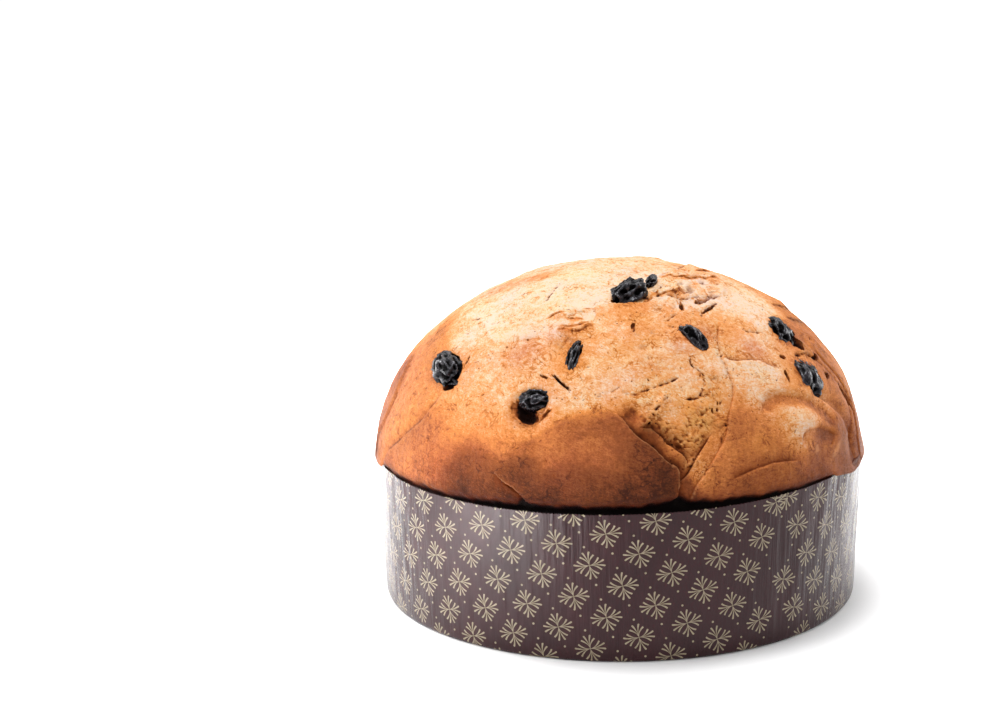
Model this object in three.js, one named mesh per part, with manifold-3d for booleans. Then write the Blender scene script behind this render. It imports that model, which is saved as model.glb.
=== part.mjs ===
import * as THREE from "three";
import { mergeVertices } from "three/addons/utils/BufferGeometryUtils.js";
import Module from "manifold-3d";

// A low panettone in its paper baking case.
// Millimetres, +Z up, origin on the table under the middle of the case.
// A place on the crust is an azimuth (0 at the front, -Y, and 90 at the right, +X)
// and a tilt (0 at the edge of the dome, 90 at its top), both in degrees.

// Driving dimensions
const caseRimRadius = 104.5;
const caseBaseRadius = 102;
const caseHeight = 63.3;
const caseRimRise = { right: 1.98, front: 0.68 };
const caseWall = 0.8;
const caseCorner = 1.6;
const caseSides = 96;
const fitGap = 0.4;
const domeRadius = 105;
const domeHeight = 79.5;
const domeDrop = 0.7;
const undercut = { sides: 1.7, front: 5.6, above: 4, below: 8 };
const raisinGap = 0.5;
const raisinWrinkle = 0.07;

// How fine the crust's triangles are, in millimetres of edge
const meshSize = { open: 11, rim: 5.6, hidden: 34, growth: 0.5, stretch: 1.4, snap: 0.3, passes: 12 };

const loafMaterial = new THREE.MeshStandardMaterial({ color: 0xc98a4f, roughness: 0.72, metalness: 0 });
const raisinMaterial = new THREE.MeshStandardMaterial({ color: 0x17110f, roughness: 0.38, metalness: 0 });
const caseMaterial = new THREE.MeshStandardMaterial({ color: 0x59403f, roughness: 0.42, metalness: 0 });

// Folds of the crust. Each runs along its path with one side standing over the other.
// high: which hand of the path is the high side; rise: height there at the two ends;
// fall: how far the rise takes to fade; sink and drain: the same for the low side;
// round: how far the high edge takes to roll over; grain: the triangle size at the edge.
const endFades = { fold: 9, line: 5 };
const folds = [
  { path: [[-76, -4], [-71, 6], [-65, 12], [-60, 17], [-56, 22], [-53, 30]], high: "right",
    rise: [1.2, 0.8], fall: 22, sink: 0.6, drain: 5, round: 3, grain: 4.6 },
  { path: [[-86, -4], [-82, 6], [-78, 14], [-78, 20], [-81, 27], [-90, 34]], high: "left",
    rise: [1.0, 0.6], fall: 16, sink: 0.6, drain: 4, round: 2, grain: 4.6 },
  { path: [[-20, 21], [-16, 27], [-9, 30], [-3, 30.5], [2, 25], [8, 18], [12.5, 13], [13, 8], [12, 2]],
    high: "right", rise: [0.6, 2.8], fall: 20, sink: 1.3, drain: 4, round: 2.4, grain: 2.8 },
  { path: [[4, 24], [10, 23], [14, 18], [16, 16]], high: "right",
    rise: [0.8, 0.6], fall: 4, sink: 2.2, drain: 3, round: 2.0, grain: 2.8 },
  { path: [[15, -3], [16.5, 6], [20, 12], [25, 19], [27, 26], [32, 34], [34, 45], [38, 51], [46, 57]],
    high: "right", rise: [1.6, 0.8], fall: 12, sink: 1.0, drain: 3.5, round: 2.0, grain: 2.8 },
  { path: [[12.5, 2], [13, 8], [17, 14], [21, 20], [24, 24]], high: "right",
    rise: [0.8, 0.3], fall: 4, sink: 0.9, drain: 2.5, round: 1, grain: 3.2 },
  { path: [[-31, 12], [-29, 9], [-25, 7], [-22, 5], [-20, 1]], high: "left",
    rise: [0.4, 1.6], fall: 10, sink: 1.0, drain: 6, round: 1.2, grain: 3 },
  { path: [[38, 25], [40, 28], [45, 29], [53, 26], [60, 20], [63, 15]], high: "left",
    rise: [0.3, 0.8], fall: 6, sink: 2.0, drain: 5, round: 2.4, grain: 3.2 },
  { path: [[47, 14], [50, 16.5], [55, 16.5], [60, 14]], high: "left",
    rise: [0.4, 0.4], fall: 5, sink: 1.4, drain: 4, round: 1.8, grain: 3.2 },
  { path: [[27, 8.5], [32, 10], [38, 11], [45, 10]], high: "right",
    rise: [0.6, 0.6], fall: 8, sink: 0.7, drain: 4, round: 1.6, grain: 3.4 },
  { path: [[33, 45], [38, 43], [42, 42], [48, 40]], high: "right",
    rise: [0.8, 0.3], fall: 9, sink: 0.7, drain: 6, round: 2, grain: 3.6 },
  { path: [[-13, 64], [-4, 67], [4, 67], [13, 68], [22, 68]], high: "right",
    rise: [0.9, 0.6], fall: 9, sink: 1.0, drain: 5, round: 1.4, grain: 3.2 },
  { path: [[30, 71], [36, 66], [44, 65], [51, 62], [60, 63]], high: "right",
    rise: [0.9, 0.6], fall: 6, sink: 1.2, drain: 5, round: 1.4, grain: 3.2 },
  { path: [[60, 80], [84, 78], [110, 74], [127, 68]], high: "right",
    rise: [1.4, 0.8], fall: 8, sink: 0.6, drain: 5, round: 1.8, grain: 3.6 },
  { path: [[104, 40], [96, 47], [84, 45], [78, 40], [76, 34], [78, 26], [79, 16], [76, 6], [77, -3]],
    high: "left", rise: [1.2, 1.2], fall: 8, sink: 1.6, drain: 4, round: 1.6, grain: 3 },
  { path: [[66, 38], [72, 34], [75, 26], [76, 18], [73, 9], [72, 1]], high: "left",
    rise: [0.4, 0.9], fall: 4, sink: 1.4, drain: 3, round: 1.2, grain: 3 },
  // The other side of the loaf has the same kinds of fold, each in its own place.
  { path: [[172, -3], [174, 9], [179, 17], [185, 24], [189, 33], [187, 44], [182, 52], [170, 58]],
    high: "right", rise: [2.4, 0.7], fall: 18, sink: 1.4, drain: 4, round: 1.6, grain: 3 },
  { path: [[214, -3], [211, 8], [205, 16], [199, 24], [196, 34], [199, 46], [206, 55]], high: "left",
    rise: [1.8, 0.7], fall: 14, sink: 1.1, drain: 4, round: 1.4, grain: 3 },
  { path: [[186, 22], [192, 25], [197, 22], [203, 15]], high: "right",
    rise: [0.8, 0.8], fall: 4, sink: 1.8, drain: 3, round: 1.2, grain: 3.2 },
  { path: [[152, 12], [148, 18], [140, 22], [131, 21], [124, 15]], high: "left",
    rise: [0.8, 0.4], fall: 8, sink: 1.6, drain: 6, round: 2, grain: 3.6 },
  { path: [[226, 9], [233, 13], [241, 14], [249, 11]], high: "right",
    rise: [0.7, 0.7], fall: 9, sink: 0.9, drain: 5, round: 1.8, grain: 3.6 },
  { path: [[231, 44], [238, 38], [247, 36], [256, 40]], high: "left",
    rise: [0.8, 0.5], fall: 8, sink: 0.8, drain: 6, round: 1.8, grain: 3.6 },
];

// Narrow cracks and valleys: path, depth and half width
const cracks = [
  { path: [[1, 36], [6, 34.5], [11, 37], [18, 40]], depth: 1.4, half: 1.2, grain: 3.2 },
  { path: [[23, 46], [22.5, 43], [25, 40], [24, 36], [17, 33]], depth: 1.0, half: 0.9, grain: 3.4 },
  { path: [[-20, 41], [-17, 38.5], [-13, 36]], depth: 1.2, half: 0.9, grain: 3.4 },
  { path: [[52, 36], [52, 32]], depth: 1.6, half: 1, grain: 3.4 },
  { path: [[58, 28], [65, 22], [69, 17], [71, 9], [71, 2]], depth: 2.2, half: 5, grain: 4.6 },
  { path: [[160, 47], [153, 43], [145, 44], [139, 40]], depth: 1.3, half: 1.1, grain: 3.6 },
  { path: [[222, 34], [218, 28], [221, 22]], depth: 1.5, half: 1.1, grain: 3.6 },
];

// Ridges are cracks that stand up
const ridges = [
  { path: [[4, 25], [7, 30], [11, 34], [13, 37]], height: 1.3, half: 2, grain: 3.2 },
  { path: [[-32, 58], [-27, 61], [-20, 63], [-14, 63]], height: 1.1, half: 1.6, grain: 3.6 },
  { path: [[-29, 53], [-21, 55], [-15, 57], [-10, 58]], height: 1.0, half: 1.6, grain: 3.6 },
  { path: [[150, 66], [163, 68], [176, 65]], height: 1.1, half: 2, grain: 3.8 },
  { path: [[191, 40], [193, 48], [190, 56]], height: 1.1, half: 2, grain: 3.8 },
];

// Broad swells and hollows: place, height and radius
const swells = [
  { at: [-90, 5], height: 0.9, radius: 24 }, { at: [90, 12], height: 0.3, radius: 16 },
  { at: [49, 20], height: 1.5, radius: 9 }, { at: [55, 11], height: -1.8, radius: 6 },
  { at: [60, 40], height: -1.5, radius: 11 }, { at: [98, 66], height: 1.3, radius: 16 },
  { at: [13, 21], height: -2.4, radius: 4 }, { at: [3, 29], height: -1.8, radius: 3 },
  { at: [-14, 12], height: 0.8, radius: 20 }, { at: [-42, 12], height: 0.8, radius: 18 },
  { at: [-8, 44], height: 0.7, radius: 14 }, { at: [-60, 52], height: -0.7, radius: 16 },
  { at: [138, 15], height: 1.2, radius: 10 }, { at: [156, 30], height: -0.8, radius: 16 },
  { at: [192, 19], height: -1.6, radius: 6 }, { at: [228, 24], height: 1.1, radius: 14 },
  { at: [248, 20], height: -1.0, radius: 14 }, { at: [120, 46], height: 0.9, radius: 18 },
  { at: [215, 66], height: 0.8, radius: 16 }, { at: [96, 34], height: -3.4, radius: 20 },
];

// Slow unevenness of the whole dome: two waves, with the length of each along x, y and z
const lumps = [
  { height: 0.35, lengths: [17, 21], shift: [1.3, 0.4] },
  { height: 0.25, lengths: [9, 12, 14] },
];

// Raisins: place on the crust, length and width of what shows, thickness, the turn of the
// length from straight up the slope towards growing azimuth, and the depth of the middle
const raisins = [
  { at: [-57.5, 36], size: [19, 11.8, 11], turn: -75, sunk: 2.2 },
  { at: [-23.6, 32], size: [9.4, 8.4, 10], turn: 82, sunk: 3.4 },
  { at: [-14.8, 46.8], size: [11.9, 4.9, 7], turn: 0, sunk: 2.2 },
  { at: [7.3, 72.3], size: [17.7, 12.3, 13], turn: 43, sunk: 0.8 },
  { at: [35, 77], size: [9, 3.5, 4.5], turn: 54, sunk: 0.4 },
  { at: [28, 52], size: [14.5, 8.9, 9], turn: -14, sunk: 2 },
  { at: [70, 46.5], size: [13.8, 12.2, 9], turn: 79, sunk: 2 },
  { at: [62, 32], size: [17.8, 12.3, 10], turn: -24, sunk: 2.2 },
  { at: [123, 27], size: [14, 9.5, 8], turn: 24, sunk: 1.8 },
  { at: [137, 46], size: [13, 10, 8], turn: 70, sunk: 1.6 },
  { at: [163, 24], size: [16, 11, 8.5], turn: -35, sunk: 2.2 },
  { at: [175, 59], size: [12, 8, 7], turn: 15, sunk: 1.4 },
  { at: [209, 41], size: [15, 10, 8], turn: 48, sunk: 1.8 },
  { at: [237, 27], size: [13, 11, 8], turn: -15, sunk: 1.8 },
  { at: [228, 41], size: [11, 7, 6.5], turn: 80, sunk: 1.4 },
];

// Craters where the skin broke open over a raisin: place, depth, radius and rim height
const craters = [
  { at: [-24, 30], depth: 2.2, radius: 9, rim: 0.9 },
  { at: [163, 24.5], depth: 1.8, radius: 10, rim: 0.7 },
];

const wasm = await Module();
wasm.setup();

const radians = THREE.MathUtils.degToRad;
const mix = THREE.MathUtils.lerp;
const smooth = THREE.MathUtils.smoothstep;
const bell = (distance, width) => Math.exp(-((distance / width) ** 2));

// The paper case: its rim is a little higher on one side than on the other
const rimHeight = (azimuth) =>
  caseHeight + caseRimRise.right * Math.sin(azimuth) + caseRimRise.front * Math.cos(azimuth);
const caseInnerRadius = (z) =>
  mix(caseBaseRadius, caseRimRadius, z / caseHeight) - caseWall;

// The plain loaf, with no folds: a half ellipsoid over a body that fills the case.
// direction is a unit vector: its upper half covers the dome, its lower half the body.
const cornerTilt = -0.55;
const cornerShare = 0.2;
const bodyBottom = caseWall + fitGap;
const bodyCorner = 5;

function plainLoaf(direction) {
  const azimuth = Math.atan2(direction.x, -direction.y);
  const tilt = Math.asin(THREE.MathUtils.clamp(direction.z, -1, 1));
  const rim = rimHeight(azimuth);
  const tuck = mix(undercut.sides, undercut.front, Math.max(Math.cos(azimuth), 0) ** 2);
  let radius;
  let height;
  if (tilt >= 0) {
    height = mix(rim - domeDrop, caseHeight - domeDrop, Math.sin(tilt)) + domeHeight * Math.sin(tilt);
    radius = domeRadius * Math.cos(tilt) - tuck * bell(height - rim + domeDrop, undercut.above);
  } else if (tilt > cornerTilt) {
    height = mix(rim - domeDrop, bodyBottom + bodyCorner, tilt / cornerTilt);
    const slack = tuck - (domeRadius - caseInnerRadius(rim - domeDrop) + fitGap);
    radius = caseInnerRadius(height) - fitGap - slack * bell(height - rim + domeDrop, undercut.below);
  } else {
    const along = (tilt - cornerTilt) / (-Math.PI / 2 - cornerTilt);
    const turn = Math.min(along / cornerShare, 1) * Math.PI / 2;
    const inset = caseInnerRadius(bodyBottom + bodyCorner) - fitGap - bodyCorner;
    height = bodyBottom + bodyCorner * (1 - Math.sin(turn));
    radius = along < cornerShare
      ? inset + bodyCorner * Math.cos(turn)
      : inset * (1 - along) / (1 - cornerShare);
  }
  return new THREE.Vector3(radius * Math.sin(azimuth), -radius * Math.cos(azimuth), height);
}

function crustDirection([azimuth, tilt]) {
  const a = radians(azimuth);
  const t = radians(tilt);
  return new THREE.Vector3(Math.cos(t) * Math.sin(a), -Math.cos(t) * Math.cos(a), Math.sin(t));
}

// Point and outward direction on the smooth ellipsoid that the folds are measured on
const domeCentre = new THREE.Vector3(0, 0, caseHeight - domeDrop);
const domePoint = (direction) => new THREE.Vector3(
  domeRadius * direction.x, domeRadius * direction.y, domeHeight * direction.z).add(domeCentre);
const domeNormal = (direction) => new THREE.Vector3(
  direction.x / domeRadius, direction.y / domeRadius, direction.z / domeHeight).normalize();

function directionOf(point) {
  const { x, y, z } = point.clone().sub(domeCentre);
  return new THREE.Vector3(x / domeRadius, y / domeRadius, z / domeHeight).normalize();
}

function crustPath(places) {
  const curve = new THREE.CatmullRomCurve3(places.map((place) => domePoint(crustDirection(place))));
  const points = curve.getSpacedPoints(6 * (places.length - 1));
  return { points, length: curve.getLength() };
}

for (const line of [...folds, ...cracks, ...ridges]) {
  line.route = crustPath(line.path);
}
for (const spot of [...swells, ...craters]) {
  spot.centre = domePoint(crustDirection(spot.at));
}

// Nearest place on a route: signed distance, positive to the left as seen from outside,
// and how far along the route it lies, as a share of its length
const nearest = new THREE.Vector3();
const segment = new THREE.Line3();
const tangent = new THREE.Vector3();
const away = new THREE.Vector3();

function fromRoute({ points }, point, normal) {
  let best = { distance: Infinity, share: 0 };
  for (let i = 0; i + 1 < points.length; i++) {
    segment.set(points[i], points[i + 1]);
    const step = segment.closestPointToPointParameter(point, true);
    segment.at(step, nearest);
    const distance = nearest.distanceTo(point);
    if (distance < Math.abs(best.distance)) {
      tangent.subVectors(points[i + 1], points[i]).cross(away.subVectors(point, nearest));
      const side = tangent.dot(normal) < 0 ? -1 : 1;
      best = { distance: side * distance, share: (i + step) / (points.length - 1) };
    }
  }
  return best;
}

const endFade = ({ length }, share, reach) =>
  smooth(share * length, 0, reach) * smooth((1 - share) * length, 0, reach);

function foldHeight(fold, point, normal) {
  const { distance, share } = fromRoute(fold.route, point, normal);
  const over = fold.high === "left" ? distance : -distance;
  const fade = endFade(fold.route, share, endFades.fold);
  if (over < 0) {
    return -fold.sink * Math.exp(over / fold.drain) * fade;
  }
  const crest = mix(fold.rise[0], fold.rise[1], share) * Math.exp(-over / fold.fall);
  return ((fold.sink + crest) * smooth(over, 0, fold.round) - fold.sink) * fade;
}

function craterHeight({ centre, depth, radius, rim }, point) {
  const distance = point.distanceTo(centre);
  return rim * bell(distance - radius - 2, 3) - depth * (1 - smooth(distance, radius - 3, radius + 1));
}

function lineHeight(line, height, point, normal) {
  const { distance, share } = fromRoute(line.route, point, normal);
  return height * bell(distance, line.half) * endFade(line.route, share, endFades.line);
}

function lumpHeight({ x, y, z }) {
  const [wide, narrow] = lumps;
  const [a, b] = wide.lengths;
  const [c, d, e] = narrow.lengths;
  return wide.height * Math.sin(x / a + wide.shift[0]) * Math.sin(y / b + wide.shift[1])
    + narrow.height * Math.sin(x / c - y / d + z / e);
}

function relief(direction) {
  const point = domePoint(direction);
  const normal = domeNormal(direction);
  let height = lumpHeight(point);
  for (const fold of folds) height += foldHeight(fold, point, normal);
  for (const crack of cracks) height += lineHeight(crack, -crack.depth, point, normal);
  for (const ridge of ridges) height += lineHeight(ridge, ridge.height, point, normal);
  for (const swell of swells) height += swell.height * bell(point.distanceTo(swell.centre), swell.radius);
  for (const crater of craters) height += craterHeight(crater, point);
  const clear = smooth(domeHeight * direction.z, 0, 5);
  return normal.multiplyScalar(height * clear);
}

function loafPoint(direction) {
  const point = plainLoaf(direction);
  return direction.z > 0 ? point.add(relief(direction)) : point;
}

// Moves a corner of the mesh that lies close to a fold's edge onto that edge
function ontoFold(direction, wanted) {
  if (domeHeight * direction.z < 4) {
    return direction;
  }
  const point = domePoint(direction);
  const normal = domeNormal(direction);
  let reach = meshSize.snap * wanted;
  let moved = direction;
  for (const line of [...folds, ...cracks, ...ridges]) {
    const { distance, share } = fromRoute(line.route, point, normal);
    if (Math.abs(distance) < reach && share > 0 && share < 1) {
      reach = Math.abs(distance);
      const at = share * (line.route.points.length - 1);
      const from = Math.min(Math.floor(at), line.route.points.length - 2);
      const target = line.route.points[from].clone().lerp(line.route.points[from + 1], at - from);
      moved = directionOf(target);
    }
  }
  return moved;
}

// The triangle size wanted at a place: fine at the folds, coarse in the open and in the case
function wantedEdge(direction) {
  if (direction.z < -1e-6) {
    return meshSize.hidden;
  }
  const point = domePoint(direction);
  const normal = domeNormal(direction);
  const overRim = domeHeight * direction.z;
  let wanted = Math.min(meshSize.open, meshSize.rim + meshSize.growth * Math.max(overRim - 6, 0));
  for (const line of [...folds, ...cracks, ...ridges]) {
    const distance = Math.abs(fromRoute(line.route, point, normal).distance);
    const near = Math.max(distance - 0.5 * line.grain, 0);
    wanted = Math.min(wanted, line.grain + meshSize.growth * near);
  }
  return wanted;
}

// Half way between two directions: along the level ring on the body, along the arc on the dome
function between(a, b) {
  const level = a.z < 1e-6 && b.z < 1e-6;
  if (!level) {
    return a.clone().add(b).normalize();
  }
  const flat = new THREE.Vector2(a.x + b.x, a.y + b.y).normalize();
  const lowest = Math.min(a.z, b.z) < -0.999999;
  const onAxis = a.z < b.z ? b : a;
  if (lowest) {
    flat.set(onAxis.x, onAxis.y).normalize();
  }
  const tilt = (Math.asin(Math.max(a.z, -1)) + Math.asin(Math.max(b.z, -1))) / 2;
  return new THREE.Vector3(flat.x * Math.cos(tilt), flat.y * Math.cos(tilt), Math.sin(tilt));
}

// An octahedron's upper half, with rings under it down to the middle of the base
function startMesh() {
  const ball = new THREE.OctahedronGeometry(1, 5).rotateX(Math.PI / 2);
  ball.deleteAttribute("normal");
  ball.deleteAttribute("uv");
  const whole = mergeVertices(ball, 1e-5);
  const position = whole.getAttribute("position");
  const directions = [];
  for (let i = 0; i < position.count; i++) {
    const direction = new THREE.Vector3().fromBufferAttribute(position, i).normalize();
    direction.z = Math.abs(direction.z) < 1e-5 ? 0 : direction.z;
    directions.push(direction);
  }
  const triangles = [];
  const index = whole.getIndex().array;
  for (let i = 0; i < index.length; i += 3) {
    const corners = [index[i], index[i + 1], index[i + 2]];
    if (corners.every((corner) => directions[corner].z >= 0)) triangles.push(corners);
  }
  const azimuthOf = (i) => Math.atan2(directions[i].x, -directions[i].y);
  const onRim = directions.map((direction, i) => i).filter((i) => directions[i].z === 0);
  let ring = onRim.sort((a, b) => azimuthOf(a) - azimuthOf(b));
  const corner = [cornerShare / 2, cornerShare].map((share) => mix(cornerTilt, -Math.PI / 2, share));
  const bodyTilts = [cornerTilt / 2, cornerTilt, ...corner];
  for (const tilt of bodyTilts) {
    const next = ring.map((i) => {
      const flat = new THREE.Vector2(directions[i].x, directions[i].y).normalize();
      directions.push(new THREE.Vector3(flat.x * Math.cos(tilt), flat.y * Math.cos(tilt), Math.sin(tilt)));
      return directions.length - 1;
    });
    ring.forEach((corner, i) => {
      const j = (i + 1) % ring.length;
      triangles.push([corner, next[i], next[j]], [corner, next[j], ring[j]]);
    });
    ring = next;
  }
  directions.push(new THREE.Vector3(0, 0, -1));
  ring.forEach((corner, i) => {
    triangles.push([corner, directions.length - 1, ring[(i + 1) % ring.length]]);
  });
  return { directions, triangles };
}

// Splits every edge that is longer than wanted, until none is
function refine({ directions, triangles }) {
  const places = directions.map(plainLoaf);
  const wanted = directions.map(wantedEdge);
  let current = triangles;
  for (let pass = 0; pass < meshSize.passes; pass++) {
    const middles = new Map();
    const middleOf = (a, b) => {
      const key = a < b ? `${a}_${b}` : `${b}_${a}`;
      if (!middles.has(key)) {
        const longest = meshSize.stretch * Math.min(wanted[a], wanted[b]);
        const long = places[a].distanceTo(places[b]) > longest;
        middles.set(key, long ? directions.length : -1);
        if (long) {
          const middle = between(directions[a], directions[b]);
          directions.push(middle);
          places.push(plainLoaf(middle));
          wanted.push(wantedEdge(middle));
        }
      }
      return middles.get(key);
    };
    const next = [];
    for (const [a, b, c] of current) {
      const ab = middleOf(a, b);
      const bc = middleOf(b, c);
      const ca = middleOf(c, a);
      next.push(...splitTriangle([a, b, c], [ab, bc, ca], places));
    }
    if (next.length === current.length) break;
    current = next;
  }
  const snapped = directions.map((direction, i) => ontoFold(direction, wanted[i]));
  return { directions: snapped, triangles: current };
}

function splitTriangle(corners, middles, places) {
  const count = middles.filter((middle) => middle >= 0).length;
  if (count === 0) {
    return [corners];
  }
  if (count === 3) {
    const [a, b, c] = corners;
    const [ab, bc, ca] = middles;
    return [[a, ab, ca], [ab, b, bc], [ca, bc, c], [ab, bc, ca]];
  }
  const first = count === 1
    ? middles.findIndex((middle) => middle >= 0)
    : middles.findIndex((middle, i) => middle >= 0 && middles[(i + 1) % 3] >= 0);
  const [a, b, c] = [0, 1, 2].map((i) => corners[(first + i) % 3]);
  const ab = middles[first];
  if (count === 1) {
    return [[a, ab, c], [ab, b, c]];
  }
  const bc = middles[(first + 1) % 3];
  const shorter = places[a].distanceTo(places[bc]) < places[ab].distanceTo(places[c]);
  return shorter
    ? [[ab, b, bc], [a, ab, bc], [a, bc, c]]
    : [[ab, b, bc], [a, ab, c], [ab, bc, c]];
}

function toGeometry(points, triangles) {
  const geometry = new THREE.BufferGeometry();
  geometry.setAttribute("position", new THREE.Float32BufferAttribute(points.flatMap((p) => p.toArray()), 3));
  geometry.setIndex(triangles.flat());
  return geometry;
}

function toManifold(geometry) {
  const bare = geometry.clone();
  bare.deleteAttribute("normal");
  bare.deleteAttribute("uv");
  const merged = mergeVertices(bare, 1e-4);
  return new wasm.Manifold(new wasm.Mesh({
    numProp: 3,
    vertProperties: new Float32Array(merged.getAttribute("position").array),
    triVerts: new Uint32Array(merged.getIndex().array),
  }));
}

function fromManifold(solid) {
  const mesh = solid.getMesh();
  const geometry = new THREE.BufferGeometry();
  geometry.setAttribute("position", new THREE.BufferAttribute(new Float32Array(mesh.vertProperties), 3));
  geometry.setIndex(new THREE.BufferAttribute(new Uint32Array(mesh.triVerts), 1));
  return geometry;
}

// A raisin is a shrunken ellipsoid: deep wrinkles along its length, unlike in each raisin
function raisinGeometry(raisin, number, extra) {
  const geometry = new THREE.IcosahedronGeometry(1, extra > 0 ? 1 : 2);
  const position = geometry.getAttribute("position");
  const thickness = raisin.size[2] / 2;
  const spread = 1 / Math.sqrt(1 - (raisin.sunk / thickness) ** 2);
  const length = raisin.size[0] / 2 * spread + extra;
  const width = raisin.size[1] / 2 * spread + extra;
  const depth = thickness + extra;
  for (let i = 0; i < position.count; i++) {
    const u = new THREE.Vector3().fromBufferAttribute(position, i);
    const waves = Math.sin(5 * u.x + 3 * u.y + number) * Math.cos(4 * u.z - 2 * u.x + 2 * number);
    u.multiplyScalar(1 + raisinWrinkle * (extra > 0 ? 1 : waves));
    position.setXYZ(i, u.x * width, u.y * length, u.z * depth);
  }
  const direction = crustDirection(raisin.at);
  const normal = domeNormal(direction);
  const round = new THREE.Vector3(-normal.y, normal.x, 0).normalize();
  const uphill = new THREE.Vector3().crossVectors(normal, round);
  const turn = radians(raisin.turn);
  const along = uphill.clone().multiplyScalar(Math.cos(turn)).addScaledVector(round, Math.sin(turn));
  const across = new THREE.Vector3().crossVectors(along, normal);
  const place = domePoint(direction).addScaledVector(normal, -raisin.sunk);
  geometry.applyMatrix4(new THREE.Matrix4().makeBasis(across, along, normal).setPosition(place));
  return geometry;
}

function loafGeometry() {
  const { directions, triangles } = refine(startMesh());
  let loaf = toManifold(toGeometry(directions.map(loafPoint), triangles));
  raisins.forEach((raisin, number) => {
    loaf = loaf.subtract(toManifold(raisinGeometry(raisin, number, raisinGap)));
  });
  return fromManifold(loaf);
}

// The case is one turned cup, its wall leaning out, then tilted with its rim
function caseGeometry() {
  const corner = (radius, height, size) => [0, 45, 90].map((angle) => new THREE.Vector2(
    radius - size + size * Math.sin(radians(angle)), height + size - size * Math.cos(radians(angle))));
  const outer = [new THREE.Vector2(0, 0), ...corner(caseBaseRadius, 0, caseCorner),
    new THREE.Vector2(caseRimRadius, caseHeight)];
  const inner = [new THREE.Vector2(0, caseWall),
    ...corner(caseBaseRadius - caseWall, caseWall, caseCorner - caseWall),
    new THREE.Vector2(caseRimRadius - caseWall, caseHeight)];
  const geometry = new THREE.LatheGeometry([...outer, ...inner.reverse()], caseSides).rotateX(Math.PI / 2);
  const position = geometry.getAttribute("position");
  for (let i = 0; i < position.count; i++) {
    const azimuth = Math.atan2(position.getX(i), -position.getY(i));
    position.setZ(i, position.getZ(i) * rimHeight(azimuth) / caseHeight);
  }
  return geometry;
}

const panettone = new THREE.Group();

function addPiece(name, geometry, material) {
  const mesh = new THREE.Mesh(geometry, material);
  mesh.name = name;
  panettone.add(mesh);
}

addPiece("loaf", loafGeometry(), loafMaterial);
addPiece("paper_case", caseGeometry(), caseMaterial);
raisins.forEach((raisin, number) => {
  const name = `raisin_${String(number + 1).padStart(2, "0")}`;
  addPiece(name, raisinGeometry(raisin, number, 0), raisinMaterial);
});

export default panettone;
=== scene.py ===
import math

import bpy
import numpy as np
from mathutils import Matrix, Vector, kdtree, noise


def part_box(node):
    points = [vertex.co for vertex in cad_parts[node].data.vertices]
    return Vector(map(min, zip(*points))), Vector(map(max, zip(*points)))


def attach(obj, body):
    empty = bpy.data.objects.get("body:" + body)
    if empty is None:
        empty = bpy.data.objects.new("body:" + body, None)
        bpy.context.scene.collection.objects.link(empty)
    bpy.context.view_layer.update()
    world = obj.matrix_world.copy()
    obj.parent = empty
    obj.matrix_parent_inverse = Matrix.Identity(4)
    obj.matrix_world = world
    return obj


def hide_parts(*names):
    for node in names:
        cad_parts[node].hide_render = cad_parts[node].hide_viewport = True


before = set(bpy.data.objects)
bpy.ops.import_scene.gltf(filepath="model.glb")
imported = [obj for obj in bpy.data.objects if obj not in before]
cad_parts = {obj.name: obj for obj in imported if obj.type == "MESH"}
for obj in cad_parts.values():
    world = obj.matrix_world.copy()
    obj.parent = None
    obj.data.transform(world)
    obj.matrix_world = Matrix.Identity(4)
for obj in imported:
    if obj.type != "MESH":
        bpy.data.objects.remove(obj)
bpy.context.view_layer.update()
print("frame loaded:", len(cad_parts), "nodes")

# A place on the crust is an azimuth (0 at the front, 90 at the right) and a tilt (0 at the
# edge of the dome, 90 at its top), in degrees. Lengths are in millimetres until a mesh is set.
mm = 0.001


# Small helpers

def rowsOf(fields, rows):
    # one dictionary for each row; a row may leave out its last fields
    return [dict(zip(fields.split(), row)) for row in rows]


def setMode(name):
    bpy.ops.object.mode_set(mode=name)


def deselectAll():
    if bpy.context.mode != "OBJECT":
        setMode("OBJECT")
    bpy.ops.object.select_all(action="DESELECT")


def makeActive(piece):
    deselectAll()
    piece.select_set(True)
    bpy.context.view_layer.objects.active = piece


def newPiece(name):
    piece = bpy.context.object
    piece.name = name
    piece.data.name = name
    return piece


def selectVertices(mesh, chosen):
    # call in object mode: flags for the vertices, and for the edges and faces they hold
    chosen = np.asarray(chosen, bool)
    mesh.vertices.foreach_set("select", chosen)
    edges = np.empty(len(mesh.edges) * 2, int)
    mesh.edges.foreach_get("vertices", edges)
    mesh.edges.foreach_set("select", chosen[edges.reshape(-1, 2)].all(axis=1))
    corners = np.empty(len(mesh.loops), int)
    mesh.loops.foreach_get("vertex_index", corners)
    starts = np.empty(len(mesh.polygons), int)
    mesh.polygons.foreach_get("loop_start", starts)
    mesh.polygons.foreach_set("select", np.logical_and.reduceat(chosen[corners], starts))


def readPoints(mesh):
    points = np.empty(len(mesh.vertices) * 3)
    mesh.vertices.foreach_get("co", points)
    return points.reshape(-1, 3)


def writePoints(mesh, points):
    mesh.vertices.foreach_set("co", np.asarray(points, float).ravel())
    mesh.update()


def paint(mesh, name, values):
    layer = mesh.attributes.get(name) or mesh.attributes.new(name, "FLOAT", "POINT")
    layer.data.foreach_set("value", np.asarray(values, np.float32))


def applyModifier(piece, kind, **settings):
    makeActive(piece)
    modifier = piece.modifiers.new(kind.lower(), kind)
    for key, value in settings.items():
        setattr(modifier, key, value)
    bpy.ops.object.modifier_apply(modifier=modifier.name)


def smoothstep(value, low, high):
    t = np.clip((value - low) / (high - low), 0, 1)
    return t * t * (3 - 2 * t)


def bell(distance, width):
    return np.exp(-(distance / width) ** 2)


def azimuthOf(points):
    return np.arctan2(points[:, 0], -points[:, 1])


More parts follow.
